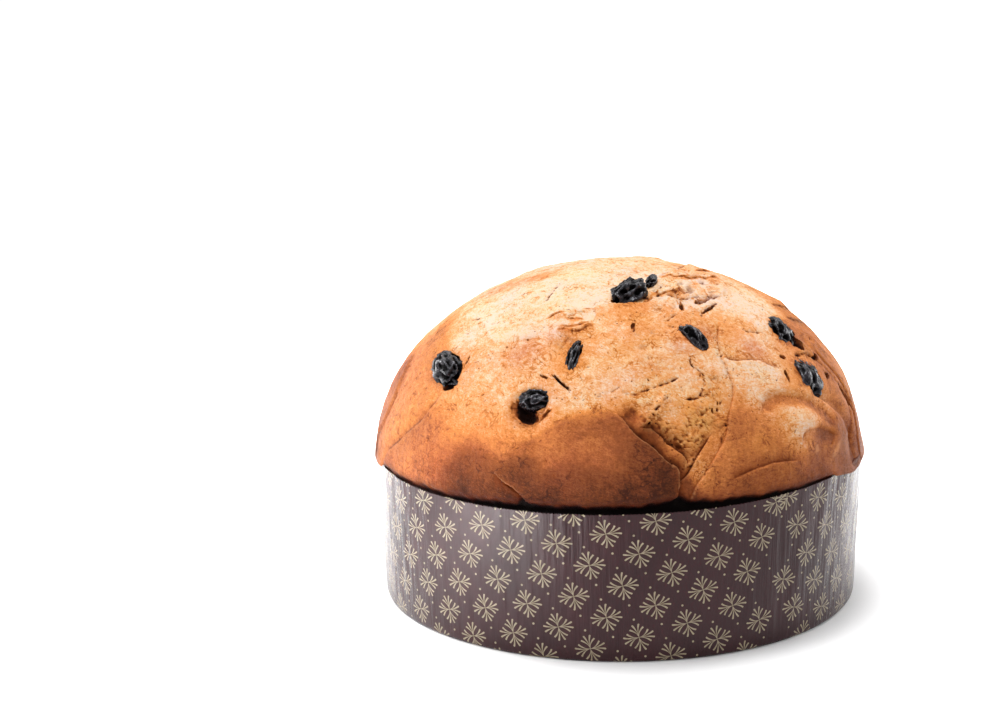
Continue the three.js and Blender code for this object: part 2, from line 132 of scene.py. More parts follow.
def distanceTo(points, centre):
    return np.linalg.norm(points - centre, axis=1)


def cloudAt(points, size, seed, octaves=3):
    # smooth noise of about -1 to 1 whose blobs are as large as size
    scaled = points / size + np.array([seed * 7.31, seed * 3.17, seed * 5.71])
    return np.array([noise.fractal(Vector(p), 0.9, 2.0, octaves) for p in scaled])


# Camera, as the photograph was taken

cameraSettings = {
    "distance": 1.300,
    "aimHeight": 0.070,
    "elevation": 16.11,
    "turnLeft": 2.216,
    "turnUp": 1.297,
    "focalPixels": 2994.7,
    "imageWidth": 1007,
    "sensor": 36.0,
}


def buildCamera():
    s = cameraSettings
    bpy.ops.object.camera_add()
    camera = bpy.context.object
    camera.name = "camera"
    elevation = math.radians(s["elevation"])
    spin = (Matrix.Rotation(math.pi / 2 - elevation, 4, "X")
            @ Matrix.Rotation(math.radians(s["turnLeft"]), 4, "Y")
            @ Matrix.Rotation(math.radians(s["turnUp"]), 4, "X"))
    height = s["aimHeight"] + s["distance"] * math.sin(elevation)
    place = Matrix.Translation((0, -s["distance"] * math.cos(elevation), height))
    camera.matrix_world = place @ spin
    camera.data.sensor_width = s["sensor"]
    camera.data.lens = s["focalPixels"] / s["imageWidth"] * s["sensor"]
    camera.data.clip_end = 20
    bpy.context.scene.camera = camera


buildCamera()
print("camera placed")


# Sizes of the loaf and its case, from the frame

caseLow, caseHigh = (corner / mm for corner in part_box("paper_case"))
loafSizes = {
    "domeRadius": 105.0,
    "domeHeight": 79.5,
    "domeDrop": 0.7,
    "undercutBelow": 8.0,
    "cornerTilt": -0.55,
    "bodyCorner": 5.0,
    "fitGap": 0.4,
    "overhangTilt": 0.09,    # radians of the dome's edge that make the overhang
}
# How far the crust's edge stands inside the rim, and how high over the rim the gap
# under the crust reaches, by azimuth; that band is painted dark, burnt crust and painted shade
undercuts = [
    (-180, 1.7), (-90, 1.7), (-60, 2.0), (-40, 2.6), (-20, 3.8), (0, 4.6), (12, 6.0), (20, 4.2),
    (30, 3.0), (45, 2.0), (60, 1.6), (90, 1.7), (180, 1.7),
]
gapHeights = [
    (-180, 1.2), (-120, 1.0), (-88, 0), (-76, 0.4), (-67, 1.2), (-59, 1.1), (-53, 1.8), (-43, 1.7),
    (-33, 2.1), (-28, 2.3), (-24, 3.0), (-22, 4.6), (-19.5, 3.0), (-13, 2.8), (4, 2.8), (9, 3.4),
    (12, 5.4), (13.5, 6.8), (15.5, 3.8), (18, 3.2), (23, 2.8), (28, 2.2), (33, 1.8), (39, 1.5),
    (45, 1.3), (53, 0.6), (62, 0), (120, 0), (140, 1.4), (180, 1.2),
]
# How black the painted shade in the gap is, by azimuth: towards the sides it is brown
gapShadeDepths = [
    (-180, 1), (-100, 0.12), (-60, 0.15), (-45, 0.35), (-25, 1), (40, 1), (62, 0.3), (110, 0.12), (180, 1),
]
# Where the dome has baked over the rim and hangs outside it: azimuth, reach and drop
overhangs = [(95, 42, 4.2), (-95, 26, 2.6), (185, 30, 3.0)]
# Its way up over the rim and down outside the case: how far along, radius, how much that
# grows with the drop, height over the rim, and whether that goes down with the drop
hookSteps = [
    (0.08, 103.4, 0, 0.25, 0), (0.14, 104.7, 0, 0.35, 0), (0.28, 105.2, 0, 0.2, 0),
    (0.55, 105.3, 0, 0, 1), (0.7, 105.6, 0.1, 1.3, 1),
]
caseSizes = {
    "rimRadius": (caseHigh.x - caseLow.x) / 2,
    "baseRadius": 102.0,
    "riseRight": 1.98,
    "riseFront": 0.68,
    "wall": 0.8,
}
caseSizes["height"] = caseHigh.z - math.hypot(caseSizes["riseRight"], caseSizes["riseFront"])


def rimHeight(azimuth):
    c = caseSizes
    return c["height"] + c["riseRight"] * np.sin(azimuth) + c["riseFront"] * np.cos(azimuth)


def caseInside(z):
    c = caseSizes
    return c["baseRadius"] + (c["rimRadius"] - c["baseRadius"]) * z / c["height"] - c["wall"]


# The plain loaf: a half ellipsoid over a body that fills the case.
# Its mesh is first a ball of unit directions, which these functions turn into places.

def crustDirection(place):
    a, t = (math.radians(angle) for angle in place)
    return np.array([math.cos(t) * math.sin(a), -math.cos(t) * math.cos(a), math.sin(t)])


domeAxes = np.array([loafSizes["domeRadius"], loafSizes["domeRadius"], loafSizes["domeHeight"]])
domeCentre = np.array([0, 0, caseSizes["height"] - loafSizes["domeDrop"]])


def domePoint(directions):
    return directions * domeAxes + domeCentre


def domeNormal(directions):
    normals = directions / domeAxes
    return normals / np.linalg.norm(normals, axis=-1, keepdims=True)


def overhangAt(azimuth):
    degrees = np.degrees(azimuth)
    drop = np.zeros(len(azimuth))
    for middle, reach, deep in overhangs:
        away = np.abs((degrees - middle + 180) % 360 - 180)
        drop = np.maximum(drop, deep * (1 - smoothstep(away, 0.45 * reach, reach)))
    return drop * (1 + 0.14 * np.sin(7 * azimuth) + 0.1 * np.sin(17 * azimuth + 1))


def undercutAt(azimuth):
    tuck = np.interp(np.degrees(azimuth), *zip(*undercuts))
    return tuck + 0.3 * np.sin(13 * azimuth + 1) + 0.2 * np.sin(29 * azimuth)


def gapAt(azimuth):
    tall = np.interp(np.degrees(azimuth), *zip(*gapHeights))
    ragged = 0.3 * np.sin(37 * azimuth + 2) + 0.25 * np.sin(61 * azimuth) + 0.2 * np.sin(113 * azimuth + 1)
    return loafSizes["domeDrop"] + tall + ragged * smoothstep(tall, 0.2, 2.2)


def plainLoaf(directions):
    s = loafSizes
    azimuth = azimuthOf(directions)
    tilt = np.arcsin(np.clip(directions[:, 2], -1, 1))
    edge = rimHeight(azimuth) - s["domeDrop"]
    tuck = undercutAt(azimuth)
    bottom = caseSizes["wall"] + s["fitGap"]

    up = np.sin(tilt)
    domeZ = edge + (caseSizes["height"] - s["domeDrop"] - edge) * up + s["domeHeight"] * up
    gap = gapAt(azimuth)
    domeR = s["domeRadius"] * np.cos(tilt) - tuck * (1 - smoothstep(domeZ - edge, 0.3 * gap, 1.4 * gap + 1))

    bodyZ = edge + (bottom + s["bodyCorner"] - edge) * tilt / s["cornerTilt"]
    slack = tuck - (s["domeRadius"] - caseInside(edge) + s["fitGap"])
    bodyR = caseInside(bodyZ) - s["fitGap"] - slack * bell(bodyZ - edge, s["undercutBelow"])

    along = (tilt - s["cornerTilt"]) / (-math.pi / 2 - s["cornerTilt"])
    turn = np.minimum(along / 0.2, 1) * math.pi / 2
    inset = caseInside(bottom + s["bodyCorner"]) - s["fitGap"] - s["bodyCorner"]
    baseZ = bottom + s["bodyCorner"] * (1 - np.sin(turn))
    baseR = np.where(along < 0.2, inset + s["bodyCorner"] * np.cos(turn), inset * (1 - along) / 0.8)

    # the overhang starts at the crust's edge and ends on the dome
    drop = overhangAt(azimuth)
    rim = rimHeight(azimuth)
    share = np.clip(tilt / s["overhangTilt"], 0, 1)
    steps = [(high, radius + grows * drop, rim - falls * drop + over)
             for high, radius, grows, over, falls in hookSteps]
    hookR, hookZ, low = domeR, domeZ, 0.0
    startR, startZ = s["domeRadius"] - tuck, edge
    for high, endR, endZ in [*steps, (1.0, domeR, domeZ)]:
        along = (share - low) / (high - low)
        here = (share > low) & (share <= high)
        hookR = np.where(here, startR + (endR - startR) * along, hookR)
        hookZ = np.where(here, startZ + (endZ - startZ) * along, hookZ)
        startR, startZ, low = endR, endZ, high
    hooked = smoothstep(drop, 0, 0.8) * (tilt > 0)
    domeR = domeR + (hookR - domeR) * hooked
    domeZ = domeZ + (hookZ - domeZ) * hooked

    z = np.where(tilt >= 0, domeZ, np.where(tilt > s["cornerTilt"], bodyZ, baseZ))
    r = np.where(tilt >= 0, domeR, np.where(tilt > s["cornerTilt"], bodyR, baseR))
    return np.stack([r * np.sin(azimuth), -r * np.cos(azimuth), z], axis=1)


# Folds of the crust: each runs along its path with one side standing over the other.
# high: the hand of the path that stands up; rise and fall: how much, and how far it takes
# to fade; sink and drain: the same on the low side; round: how far the edge takes to roll
# over; lap: how far the edge hangs over the low side; lip: a thin pale line along the edge,
# a painted highlight; shade: how dark the painted shade is just under the edge; bake: how
# much browner the high and the low side are, on the low side partly painted shade in the
# trough; stain: how wide the low side's brown band is, if it has an end; ends: how
# far the fold fades at its ends; crooked: how far it wanders

folds = rowsOf("path high rise fall sink drain round lap lip shade bake ends crooked stain", [
    ([(-76, -4), (-71, 6), (-65, 12), (-60, 17), (-56, 22), (-53, 30)],
     "right", (1.3, 1.0), 22, 1.2, 3, 2.4, 0, 0, 0.3, (0.08, -0.08)),
    ([(-86, -4), (-82, 6), (-78, 14), (-78, 20), (-81, 27), (-90, 34)],
     "left", (0.7, 0.4), 16, 0.4, 4, 2, 0.2, 0, 0.25, (0.12, -0.04)),
    # the flap at the front: its top is soft, its right side a sharp edge over the torn strip
    ([(-26, 19), (-20, 23), (-16, 27), (-9, 30.5), (-3, 31), (1, 27)],
     "right", (0.4, 1.4), 18, 0.5, 6, 4, 0, 0, 0.05, (0.2, -0.08), 7),
    ([(-1, 30.5), (2.5, 25), (4.8, 22), (7.5, 19.4), (10.7, 15.1), (13, 13.2), (13.2, 9), (12.4, 2)],
     "right", (1.0, 3.0), 16, 1.5, 3.5, 1.3, 1.9, 1.0, 0.95, (0.14, -0.04), 5, 0.2),
    ([(4.5, 25.3), (7.1, 25.2), (9.5, 23), (11.7, 20), (14.6, 17.3), (16, 14)],
     "right", (1.2, 0.8), 4, 2.2, 3, 0.9, 1.0, 0.5, 0.9, (0.2, 0), 3, 0.5),
    ([(15, -3), (16.5, 6), (20.5, 12.5), (25.5, 20), (27.8, 26), (32, 34), (34, 45), (38, 51), (46, 57)],
     "right", (1.0, 0.5), 12, 0.6, 3, 1.0, 0.6, 0.9, 0.16, (0.08, -0.05), 9, 0.2),
    ([(12.3, 2), (13.4, 8.6), (15.6, 11.4), (17.6, 15.3), (20.1, 18.8), (23, 23)],
     "right", (1.0, 0.3), 4, 1.0, 2.5, 0.8, 0.7, 0.9, 0.5, (0.1, 0), 5, 0.2),
    ([(-30, 11), (-28, 9.3), (-26.7, 8.4), (-23.9, 6.9), (-21.5, 4.1), (-20, 0)],
     "left", (0.4, 1.8), 9, 1.2, 5, 0.8, 1.0, 0.6, 0.9, (0, 0.08), 5),
    ([(38, 25), (40, 28), (45, 29), (53, 26), (60, 21), (64, 15)],
     "left", (0.2, 0.4), 8, 1.5, 6, 3.5, 0, 0, 0.1, (0.02, 0.3), 5, 0.3, 5.5),
    ([(47, 13), (48.4, 16.2), (50.6, 16.9), (55.3, 16.2), (60.5, 13.5), (62, 11)],
     "left", (0.1, 0.1), 5, 1.3, 4.5, 2.0, 0, 0, 0.15, (0.02, 0.14), 4, 0.3, 7),
    ([(24, 7.8), (28.2, 9.2), (31, 9.9), (35.1, 10.6), (37.7, 10.9), (41.2, 10.4), (46, 9.5)],
     "right", (0.5, 0.5), 8, 0.5, 3, 1.0, 0.3, 0.1, 0.5, (0.02, 0.06)),
    ([(32.5, 45), (37.1, 42.3), (41.3, 41.7), (45.6, 40.9), (48.4, 38.4), (52.9, 35.9)],
     "right", (0.4, 0.2), 9, 0.4, 6, 1.6, 0, 0, 0.25, (-0.06, 0.16), 6),
    ([(-10.9, 60), (-12.4, 63.7), (-13.8, 66.1), (-4.7, 67.5), (6.1, 68.1), (15.9, 67.4), (21, 66.4)],
     "right", (0.5, 0.4), 9, 0.3, 5, 1.0, 0, 0, 0.1, (0.16, -0.1), 4),
    ([(30, 71), (36, 66), (45.7, 65), (48.5, 63.1), (53.9, 63.5), (64.3, 62.7)],
     "right", (0.9, 0.6), 5, 1.3, 5, 1.2, 0.8, 0, 0.6, (0.1, 0.1)),
    ([(60, 80), (84, 78), (110, 74), (127, 68)], "right", (1.4, 0.8), 8, 0.6, 5, 1.6, 0.3, 0, 0.4, (0.1, 0)),
    ([(78, 38), (76, 34), (78, 26), (79, 16), (76, 6), (77, -3)],
     "left", (0.25, 0.4), 8, 0.5, 4, 1.2, 0.3, 0, 0.4, (0.04, 0)),
    ([(66, 38), (72, 34), (75, 26), (76, 18), (73, 9), (72, 1)],
     "left", (0.15, 0.3), 4, 0.4, 3, 1.4, 0.1, 0.1, 0.35, (0, 0)),
    # edges of pale skin on the upper left, and the broad fold round the dimple
    ([(-80, 49), (-68, 52), (-58, 51), (-50, 48), (-42, 48), (-33, 51), (-29, 54)],
     "left", (0.4, 0.4), 5, 0.2, 4, 1.6, 0, 0, 0, (-0.12, 0.1), 6),
    ([(59, 27), (64, 23), (68.4, 17), (71, 11), (70, 6.5)],
     "right", (0.9, 0.9), 4, 0.6, 4, 2.0, 0, 0, 0.1, (0.16, 0.06), 5),
    # the side that the photograph doesn't show
    ([(172, -3), (174, 9), (179, 17), (185, 24), (189, 33), (187, 44), (182, 52), (170, 58)],
     "right", (2.4, 0.7), 18, 1.4, 4, 1.2, 1.4, 0.8, 0.8, (0.1, -0.05)),
    ([(214, -3), (211, 8), (205, 16), (199, 24), (196, 34), (199, 46), (206, 55)],
     "left", (1.8, 0.7), 14, 1.1, 4, 1.2, 0.8, 0.8, 0.5, (0.1, -0.05)),
    ([(186, 22), (192, 25), (197, 22), (203, 15)],
     "right", (0.8, 0.8), 4, 1.8, 3, 1.0, 0.8, 0.3, 0.8, (0.15, 0), 9, 0.5),
    ([(152, 12), (148, 18), (140, 22), (131, 21), (124, 15)],
     "left", (0.8, 0.4), 8, 1.6, 6, 1.6, 0, 0.1, 0.2, (-0.05, 0.2)),
    ([(226, 9), (233, 13), (241, 14), (249, 11)],
     "right", (0.7, 0.7), 9, 0.9, 5, 1.2, 0.2, 0.1, 0.4, (0, 0.1)),
    ([(231, 44), (238, 38), (247, 36), (256, 40)],
     "left", (0.8, 0.5), 8, 0.8, 6, 1.4, 0, 0.1, 0.3, (0.1, -0.05)),
])

# Narrow cracks: depth in the middle, half width, and how dark they are painted inside, painted shade in the
# crack

cracks = rowsOf("path depth half dark", [
    ([(5, 35.8), (8.2, 36.6), (14.2, 38.4), (18, 39.9)], 1.1, 0.6, 0.6),
    ([(0, 36.5), (3, 35), (7, 35.8)], 0.5, 1.0, 0.2),
    ([(23, 46), (22.5, 43), (25, 40), (24, 36)], 0.8, 0.5, 0.6),
    ([(25.1, 41.4), (23.6, 38.9), (21, 37.6)], 0.6, 0.4, 0.4),
    ([(24, 36), (21, 33), (17, 33)], 1.2, 0.7, 0.7),
    ([(11, 31.7), (9.8, 30.9), (8.5, 29.5)], 1.2, 0.7, 0.8),
    ([(13.5, 34.5), (12, 33), (10.6, 32.3)], 0.7, 0.5, 0.6),
    ([(-20, 41), (-17, 38.5), (-13, 36)], 1.3, 0.55, 1.0),
    ([(-24, 40.5), (-22, 39)], 0.8, 0.45, 0.9),
    ([(-12, 41), (-10, 38)], 0.4, 0.35, 0.3),
    ([(-7, 34), (-3, 35.4), (1, 38)], 0.5, 0.5, 0.3),
    ([(53, 36), (52.4, 34), (51.8, 32.4)], 1.8, 0.7, 1.0),
    ([(56.7, 40.5), (57.4, 38.7)], 1.4, 0.7, 1.0),
    ([(63, 38.5), (68, 37)], 1.4, 0.9, 0.8),
    ([(69, 36.5), (72, 34.9)], 1.6, 1.1, 0.7),
    ([(72.3, 30), (71.5, 29), (70, 28)], 1.4, 0.8, 0.9),
    ([(75.5, 25), (77.2, 21.9), (76.8, 18.6), (77.3, 15.5)], 2.0, 0.7, 1.0),
    ([(73, 12), (72, 6)], 1.2, 0.7, 0.9),
    ([(5, 58), (6, 56), (4, 55)], 0.8, 0.6, 0.6),
    ([(6.2, 60), (7.4, 59.2)], 0.5, 0.4, 0.6),
    ([(10, 47.5), (11.5, 45)], 0.5, 0.4, 0.6),
    ([(-5, 49.5), (-3, 47)], 0.5, 0.4, 0.5),
    ([(7.8, 39.8), (8.6, 38.8)], 0.5, 0.4, 0.5),
    ([(9.2, 44.6), (9.4, 43.6)], 0.4, 0.4, 0.5),
    ([(34.6, 65.5), (33.6, 63.6), (33, 61.8)], 1.3, 0.8, 0.8),
    ([(37.5, 58), (42.3, 60.2), (49, 60.8), (55, 61)], 1.2, 0.7, 0.8),
    ([(26.5, 70.6), (27.4, 69.6)], 1.1, 1.0, 0.6),
    ([(39, 70), (41, 69.3)], 1.1, 1.2, 0.5),
    ([(19.1, 71), (19.1, 69.6)], 1.2, 1.4, 0.7),
    ([(18.2, 59.9), (20.9, 59), (24.9, 60.2), (29.3, 61.3)], 0.7, 0.5, 0.3),
    ([(19.5, 57.6), (23.1, 56.1), (25, 55.7)], 0.5, 0.4, 0.5),
    ([(49, 51.2), (53, 49.2), (60, 47.7)], 0.8, 0.8, 0.4),
    ([(33.7, 44.8), (34.8, 44)], 0.9, 0.6, 0.8),
    ([(25.9, 29.8), (25.2, 27.8)], 0.8, 0.5, 0.8),
    ([(27.2, 31.4), (26.6, 29.6)], 0.8, 0.5, 0.8),
    ([(27.1, 24.6), (26.8, 23.4)], 0.8, 0.5, 0.9),
    ([(-43.2, 64.2), (-45.5, 66.4), (-51.3, 70.4), (-58.7, 74.2)], 0.7, 0.5, 0.45),
    ([(-63.8, 64), (-67.2, 65.9)], 0.7, 0.5, 0.5),
    ([(-42.8, 64.4), (-47.1, 67.8)], 0.7, 0.5, 0.5),
    ([(-72.1, 50.5), (-67.3, 53.3)], 0.7, 0.5, 0.5),
    ([(-55.7, 52.6), (-51.6, 54.7)], 0.7, 0.5, 0.5),
    ([(-41, 47), (-38.5, 46.2)], 0.4, 0.5, 0.5),
    ([(-35, 50.5), (-33.5, 50)], 0.4, 0.4, 0.6),
    ([(-53.4, 42.4), (-52.1, 40.9), (-51.5, 38.3)], 0.9, 0.5, 0.8),
    ([(-48.6, 39.9), (-46.1, 41.1)], 0.5, 0.4, 0.6),
    ([(-62, 43), (-62, 41)], 0.6, 0.4, 0.7),
    ([(-70, 27.4), (-70.2, 26)], 0.7, 0.4, 0.8),
    ([(-58.7, 25.2), (-59.2, 24.3)], 0.7, 0.4, 0.8),
    ([(-83, 31), (-80, 29)], 0.5, 0.4, 0.6),
    ([(-17.5, 16.2), (-16.1, 14.9)], 0.6, 0.4, 0.5),
    ([(-28.2, 13.6), (-27, 12.6)], 0.5, 0.4, 0.4),
    ([(-27.2, 8.8), (-25, 7.6), (-22.8, 5.6), (-21.2, 3.2), (-20.6, 1)], 1.5, 0.8, 1.0),
    # the side that the photograph doesn't show
    ([(160, 47), (153, 43), (145, 44), (139, 40)], 1.3, 0.8, 0.8),
    ([(222, 34), (218, 28), (221, 22)], 1.5, 0.8, 0.9),
    ([(178, 43), (181, 38), (179, 34)], 0.8, 0.6, 0.8),
    ([(104, 24), (108, 19), (107, 15)], 1.4, 0.8, 0.9),
    ([(246, 47), (243, 43)], 0.7, 0.6, 0.7),
])

# Fine cracks that are scattered by a seeded rule: how many, and how long and deep they are
crackScatter = {
    "seed": 11,
    "count": 300,
    "tiltSine": (0.12, 0.98),
    "length": (1.2, 4.5),
    "lean": (35, 30),        # the mean angle up from level, and its spread
    "depth": (0.25, 0.6),
    "half": 0.35,
    "dark": (0.2, 0.6),
}
degreeLength = 1.83          # millimetres of crust in a degree of tilt, at most


def scatteredCracks():
    c = crackScatter
    draw = np.random.default_rng(c["seed"])
    found = []
    for i in range(c["count"]):
        azimuth = draw.uniform(0, 360)
        tilt = math.degrees(math.asin(draw.uniform(*c["tiltSine"])))
        length = draw.uniform(*c["length"]) / degreeLength
        lean = math.radians(draw.normal(*c["lean"]))
        across = length * math.cos(lean) / max(math.cos(math.radians(tilt)), 0.2)
        path = [(azimuth, tilt), (azimuth + across, min(tilt + length * math.sin(lean), 89))]
        depth = draw.uniform(*c["depth"])
        found.append(dict(path=path, depth=depth, half=c["half"], dark=draw.uniform(*c["dark"])))
    return found


cracks += scatteredCracks()

# Ridges are cracks that stand up
ridges = rowsOf("path depth half", [
    ([(3, 23.5), (6, 26.6), (9, 29.5), (13, 36)], -1.3, 2.0),
    ([(-32, 58), (-27, 61), (-20, 63), (-14, 63)], -1.1, 1.6),
    ([(-29, 53), (-21, 55), (-15, 57), (-10, 58)], -1.0, 1.6),
    ([(-18, 34), (-19, 30.5), (-21.5, 27)], -1.2, 0.7),
    ([(30, 73), (60, 77), (94, 76)], -0.8, 1.4),
    ([(27, 69.5), (40, 69.8), (64, 71.5), (82, 69)], -0.9, 1.4),
    ([(36, 64.7), (51, 65.5), (60, 63.5), (78, 64)], -0.8, 1.3),
    ([(150, 66), (163, 68), (176, 65)], -1.1, 2.0),
    ([(191, 40), (193, 48), (190, 56)], -1.1, 2.0),
])

# Thin flaky layers: steps of the skin, one behind the other, with painted shade under each step
flakes = rowsOf("path high step back dark", [
    ([(-32.8, 57.6), (-31.1, 60.1), (-28.7, 61.7), (-25.8, 62.3)], "left", 0.9, 4, 0.45),
    ([(-25.5, 58.8), (-21.7, 59.7), (-18.1, 59.7), (-14.7, 60.2)], "left", 0.7, 3, 0.3),
    ([(-25.3, 55.7), (-23.5, 56.4), (-21.2, 56.3), (-17.3, 57.3), (-12.5, 59.1)], "left", 0.7, 3, 0.3),
    ([(-25.6, 53.8), (-23.3, 55.2), (-18.5, 55.3), (-15.1, 56), (-12.1, 58.1), (-10.7, 58.9)], "left", 0.7, 3,
     0.3),
    ([(-21, 64), (-19.8, 64.4), (-14.7, 65.2), (-13.8, 66.1)], "left", 0.4, 3, 0.35),
    ([(62, 80), (75, 72), (92, 66)], "left", 0.7, 4, 0.4),
    ([(59.4, 76.9), (61.8, 74.5), (64.3, 72.1), (59.5, 68.8)], "right", 0.9, 4, 0.5),
    ([(27.9, 73), (27.2, 70), (32.5, 70.2), (40, 69.5), (48.8, 70.7)], "left", 0.9, 4, 0.5),
    ([(91.2, 72.5), (102.3, 69.4), (97.6, 67.8)], "left", 0.8, 3, 0.5),
    ([(88, 52), (96, 48), (101, 44)], "left", 0.7, 4, 0.5),
    ([(84, 47), (90, 44), (97, 40)], "left", 0.6, 3, 0.5),
    ([(181, 61), (190, 59), (200, 61)], "right", 0.6, 4, 0.5),
    ([(183, 57), (192, 55), (199, 58)], "right", 0.5, 3, 0.4),
])

# Broad swells and hollows: height and radius
swells = rowsOf("at height radius", [
    ((-90, 5), 0.2, 24), ((90, 12), -1.1, 16), ((49, 20), 1.5, 9), ((55, 11), -1.4, 6), ((60, 40), -1.5, 11),
    ((98, 66), 1.3, 16), ((13, 21), -2.4, 4), ((3, 30), -2.2, 3), ((-14, 12), 0.8, 20), ((-42, 12), 0.8, 18),
    ((-8, 44), 0.7, 14), ((-60, 52), -0.7, 16), ((138, 15), 1.2, 10), ((156, 30), -0.8, 16),
    ((192, 19), -1.6, 6), ((228, 24), 1.1, 14), ((248, 20), -1.0, 14), ((120, 46), 0.9, 18),
    ((215, 66), 0.8, 16), ((96, 34), -0.4, 18), ((-26, 58), 1.2, 5), ((0, 86), -1.2, 36), ((104, 47), 1.0, 4),
    ((50, 84), -1.1, 16), ((116, 72), 1.0, 4), ((-17, 52), -1.0, 5), ((16, 70), -0.9, 5), ((52, 22), 0.8, 5),
    ((70, 16), 0.8, 6), ((5, 50), -0.5, 9), ((22, 50), 0.5, 8),
])
valley = dict(path=[(58, 28), (65, 22), (69, 17), (71, 9), (71, 2)], depth=2.2, half=5.0)

# Craters where the skin broke open over a raisin
craters = rowsOf("at depth radius rim", [
    ((-24, 30), 2.0, 9, 0.5), ((163, 24.5), 1.8, 10, 0.7),
])

# Where the skin tore and the crumb shows: roughness is the height of its crags
tornPlaces = rowsOf("at radius roughness", [
    ((8, 27), 5, 0.7), ((12, 24), 4.5, 0.9), ((17, 22), 6, 1.0), ((20, 27), 7, 1.0), ((24, 31), 6, 0.7),
    ((16, 15), 4, 0.7), ((14, 31), 4, 0.5), ((24, 24), 4, 0.5), ((26, 38), 5, 0.4), ((-21, 50), 5, 0.35),
    ((92, 45), 9, 0.5), ((70, 38), 6, 0.6), ((190, 21), 8, 0.9), ((196, 30), 6, 0.7), ((163, 24), 8, 0.4),
])
# Where it is crumpled into soft ridges
crumpledPlaces = rowsOf("at radius roughness", [
    ((45, 69), 15, 1.0), ((75, 70), 12, 0.9), ((26, 66), 9, 0.7), ((-20, 58), 9, 0.4), ((80, 38), 9, 0.6),
    ((5, 55), 14, 0.25), ((10, 42), 14, 0.2), ((190, 59), 13, 0.6), ((225, 62), 10, 0.4), ((64, 30), 9, 0.3),
])

# Raisins: place, length and width of what shows, thickness, the turn of the length from
# straight up the slope towards growing azimuth, and how deep the middle lies
raisins = rowsOf("at size turn sunk", [
    ((-57.5, 36), (19, 11.8, 11), -75, 2.2), ((-23.2, 33.0), (9.4, 6.6, 9), 76, 2.9),
    ((-14.8, 46.8), (11.9, 4.9, 7), 0, 2.2), ((7.3, 72.3), (17, 11.4, 12), 43, 1.4),
    ((35, 77), (9, 3.5, 4.5), 54, 0.4), ((28, 52), (12.4, 7.4, 8.5), -14, 2.2),
    ((70, 46.5), (13.0, 11.4, 8), 79, 2.2), ((61.8, 31.9), (13.2, 13.4, 9), 12, 2.4),
    ((123, 27), (14, 9.5, 8), 24, 1.8), ((137, 46), (13, 10, 8), 70, 1.6),
    ((163, 24), (16, 11, 8.5), -35, 2.2), ((175, 59), (12, 8, 7), 15, 1.4), ((209, 41), (15, 10, 8), 48, 1.8),
    ((237, 27), (13, 11, 8), -15, 1.8), ((228, 41), (11, 7, 6.5), 80, 1.4),
])


# Measuring from a line drawn on the crust

def crustRoute(path, crooked=0.3):
    corners = np.array([domePoint(crustDirection(place)) for place in path])
    before = 2 * corners[0] - corners[1]
    after = 2 * corners[-1] - corners[-2]
    ends = np.vstack([before, corners, after])
    points = []
    for i in range(len(corners) - 1):
        a, b, c, d = ends[i:i + 4]
        steps = max(2, round(np.linalg.norm(c - b) / 1.2))
        for t in np.arange(steps) / steps:
            points.append(0.5 * (2 * b + (c - a) * t + (2 * a - 5 * b + 4 * c - d) * t ** 2
                                 + (3 * b - a - 3 * c + d) * t ** 3))
    points.append(corners[-1])
    for point in points:
        point += crooked * np.array(noise.noise_vector(Vector(point / 3.6)))
        point += 0.6 * crooked * np.array(noise.noise_vector(Vector(point / 1.5)))
    points = np.array(points)
    lengths = np.linalg.norm(np.diff(points, axis=0), axis=1)
    return dict(points=points, travel=np.append(0, lengths.cumsum()), length=lengths.sum())


def fromRoute(route, places, normals, reach):
    # signed distance (positive to the left, seen from outside), distance travelled along the
    # route, the nearest point on it, and which places lie within reach
    line = route["points"]
    middle = (line.min(axis=0) + line.max(axis=0)) / 2
    span = distanceTo(line, middle).max() + reach
    near = np.flatnonzero(((places - middle) ** 2).sum(axis=1) < span ** 2)
    here = places[near]
    best = np.full(len(near), np.inf)
    side = np.ones(len(near))
    travel = np.zeros(len(near))
    foot = np.zeros((len(near), 3))
    for i in range(len(line) - 1):
        step = line[i + 1] - line[i]
        share = np.clip((here - line[i]) @ step / (step @ step), 0, 1)
        point = line[i] + share[:, None] * step
        offset = here - point
        distance = np.linalg.norm(offset, axis=1)
        closer = distance < best
        best[closer] = distance[closer]
        foot[closer] = point[closer]
        travel[closer] = (route["travel"][i] + share * np.linalg.norm(step))[closer]
        handed = (np.cross(step, offset[closer]) * normals[near][closer]).sum(axis=1)
        side[closer] = np.where(handed < 0, -1, 1)
    kept = best < reach
    return side[kept] * best[kept], travel[kept], foot[kept], near[kept]


def endFade(route, travel, length):
    return smoothstep(travel, 0, length) * smoothstep(route["length"] - travel, 0, length)


def patchy(travel, seed):
    # a crack opens and closes along its way
    waves = np.sin(travel / 1.1 + seed) + np.sin(travel / 0.47 + 2.3 * seed)
    waves += np.sin(travel / 2.6 + 4.1 * seed)
    return np.clip(0.72 + 0.22 * waves, 0.12, 1.2)


allLines = [*folds, *cracks, *ridges, *flakes, valley]
for line in allLines:
    line["route"] = crustRoute(line["path"], line.get("crooked", 0.3))
for spot in [*swells, *craters, *tornPlaces, *crumpledPlaces]:
    spot["centre"] = domePoint(crustDirection(spot["at"]))


def onHighSide(line, distance):
    return distance if line["high"] == "left" else -distance


# Relief of the crust: height along the normal and a sideways shift that makes edges overhang

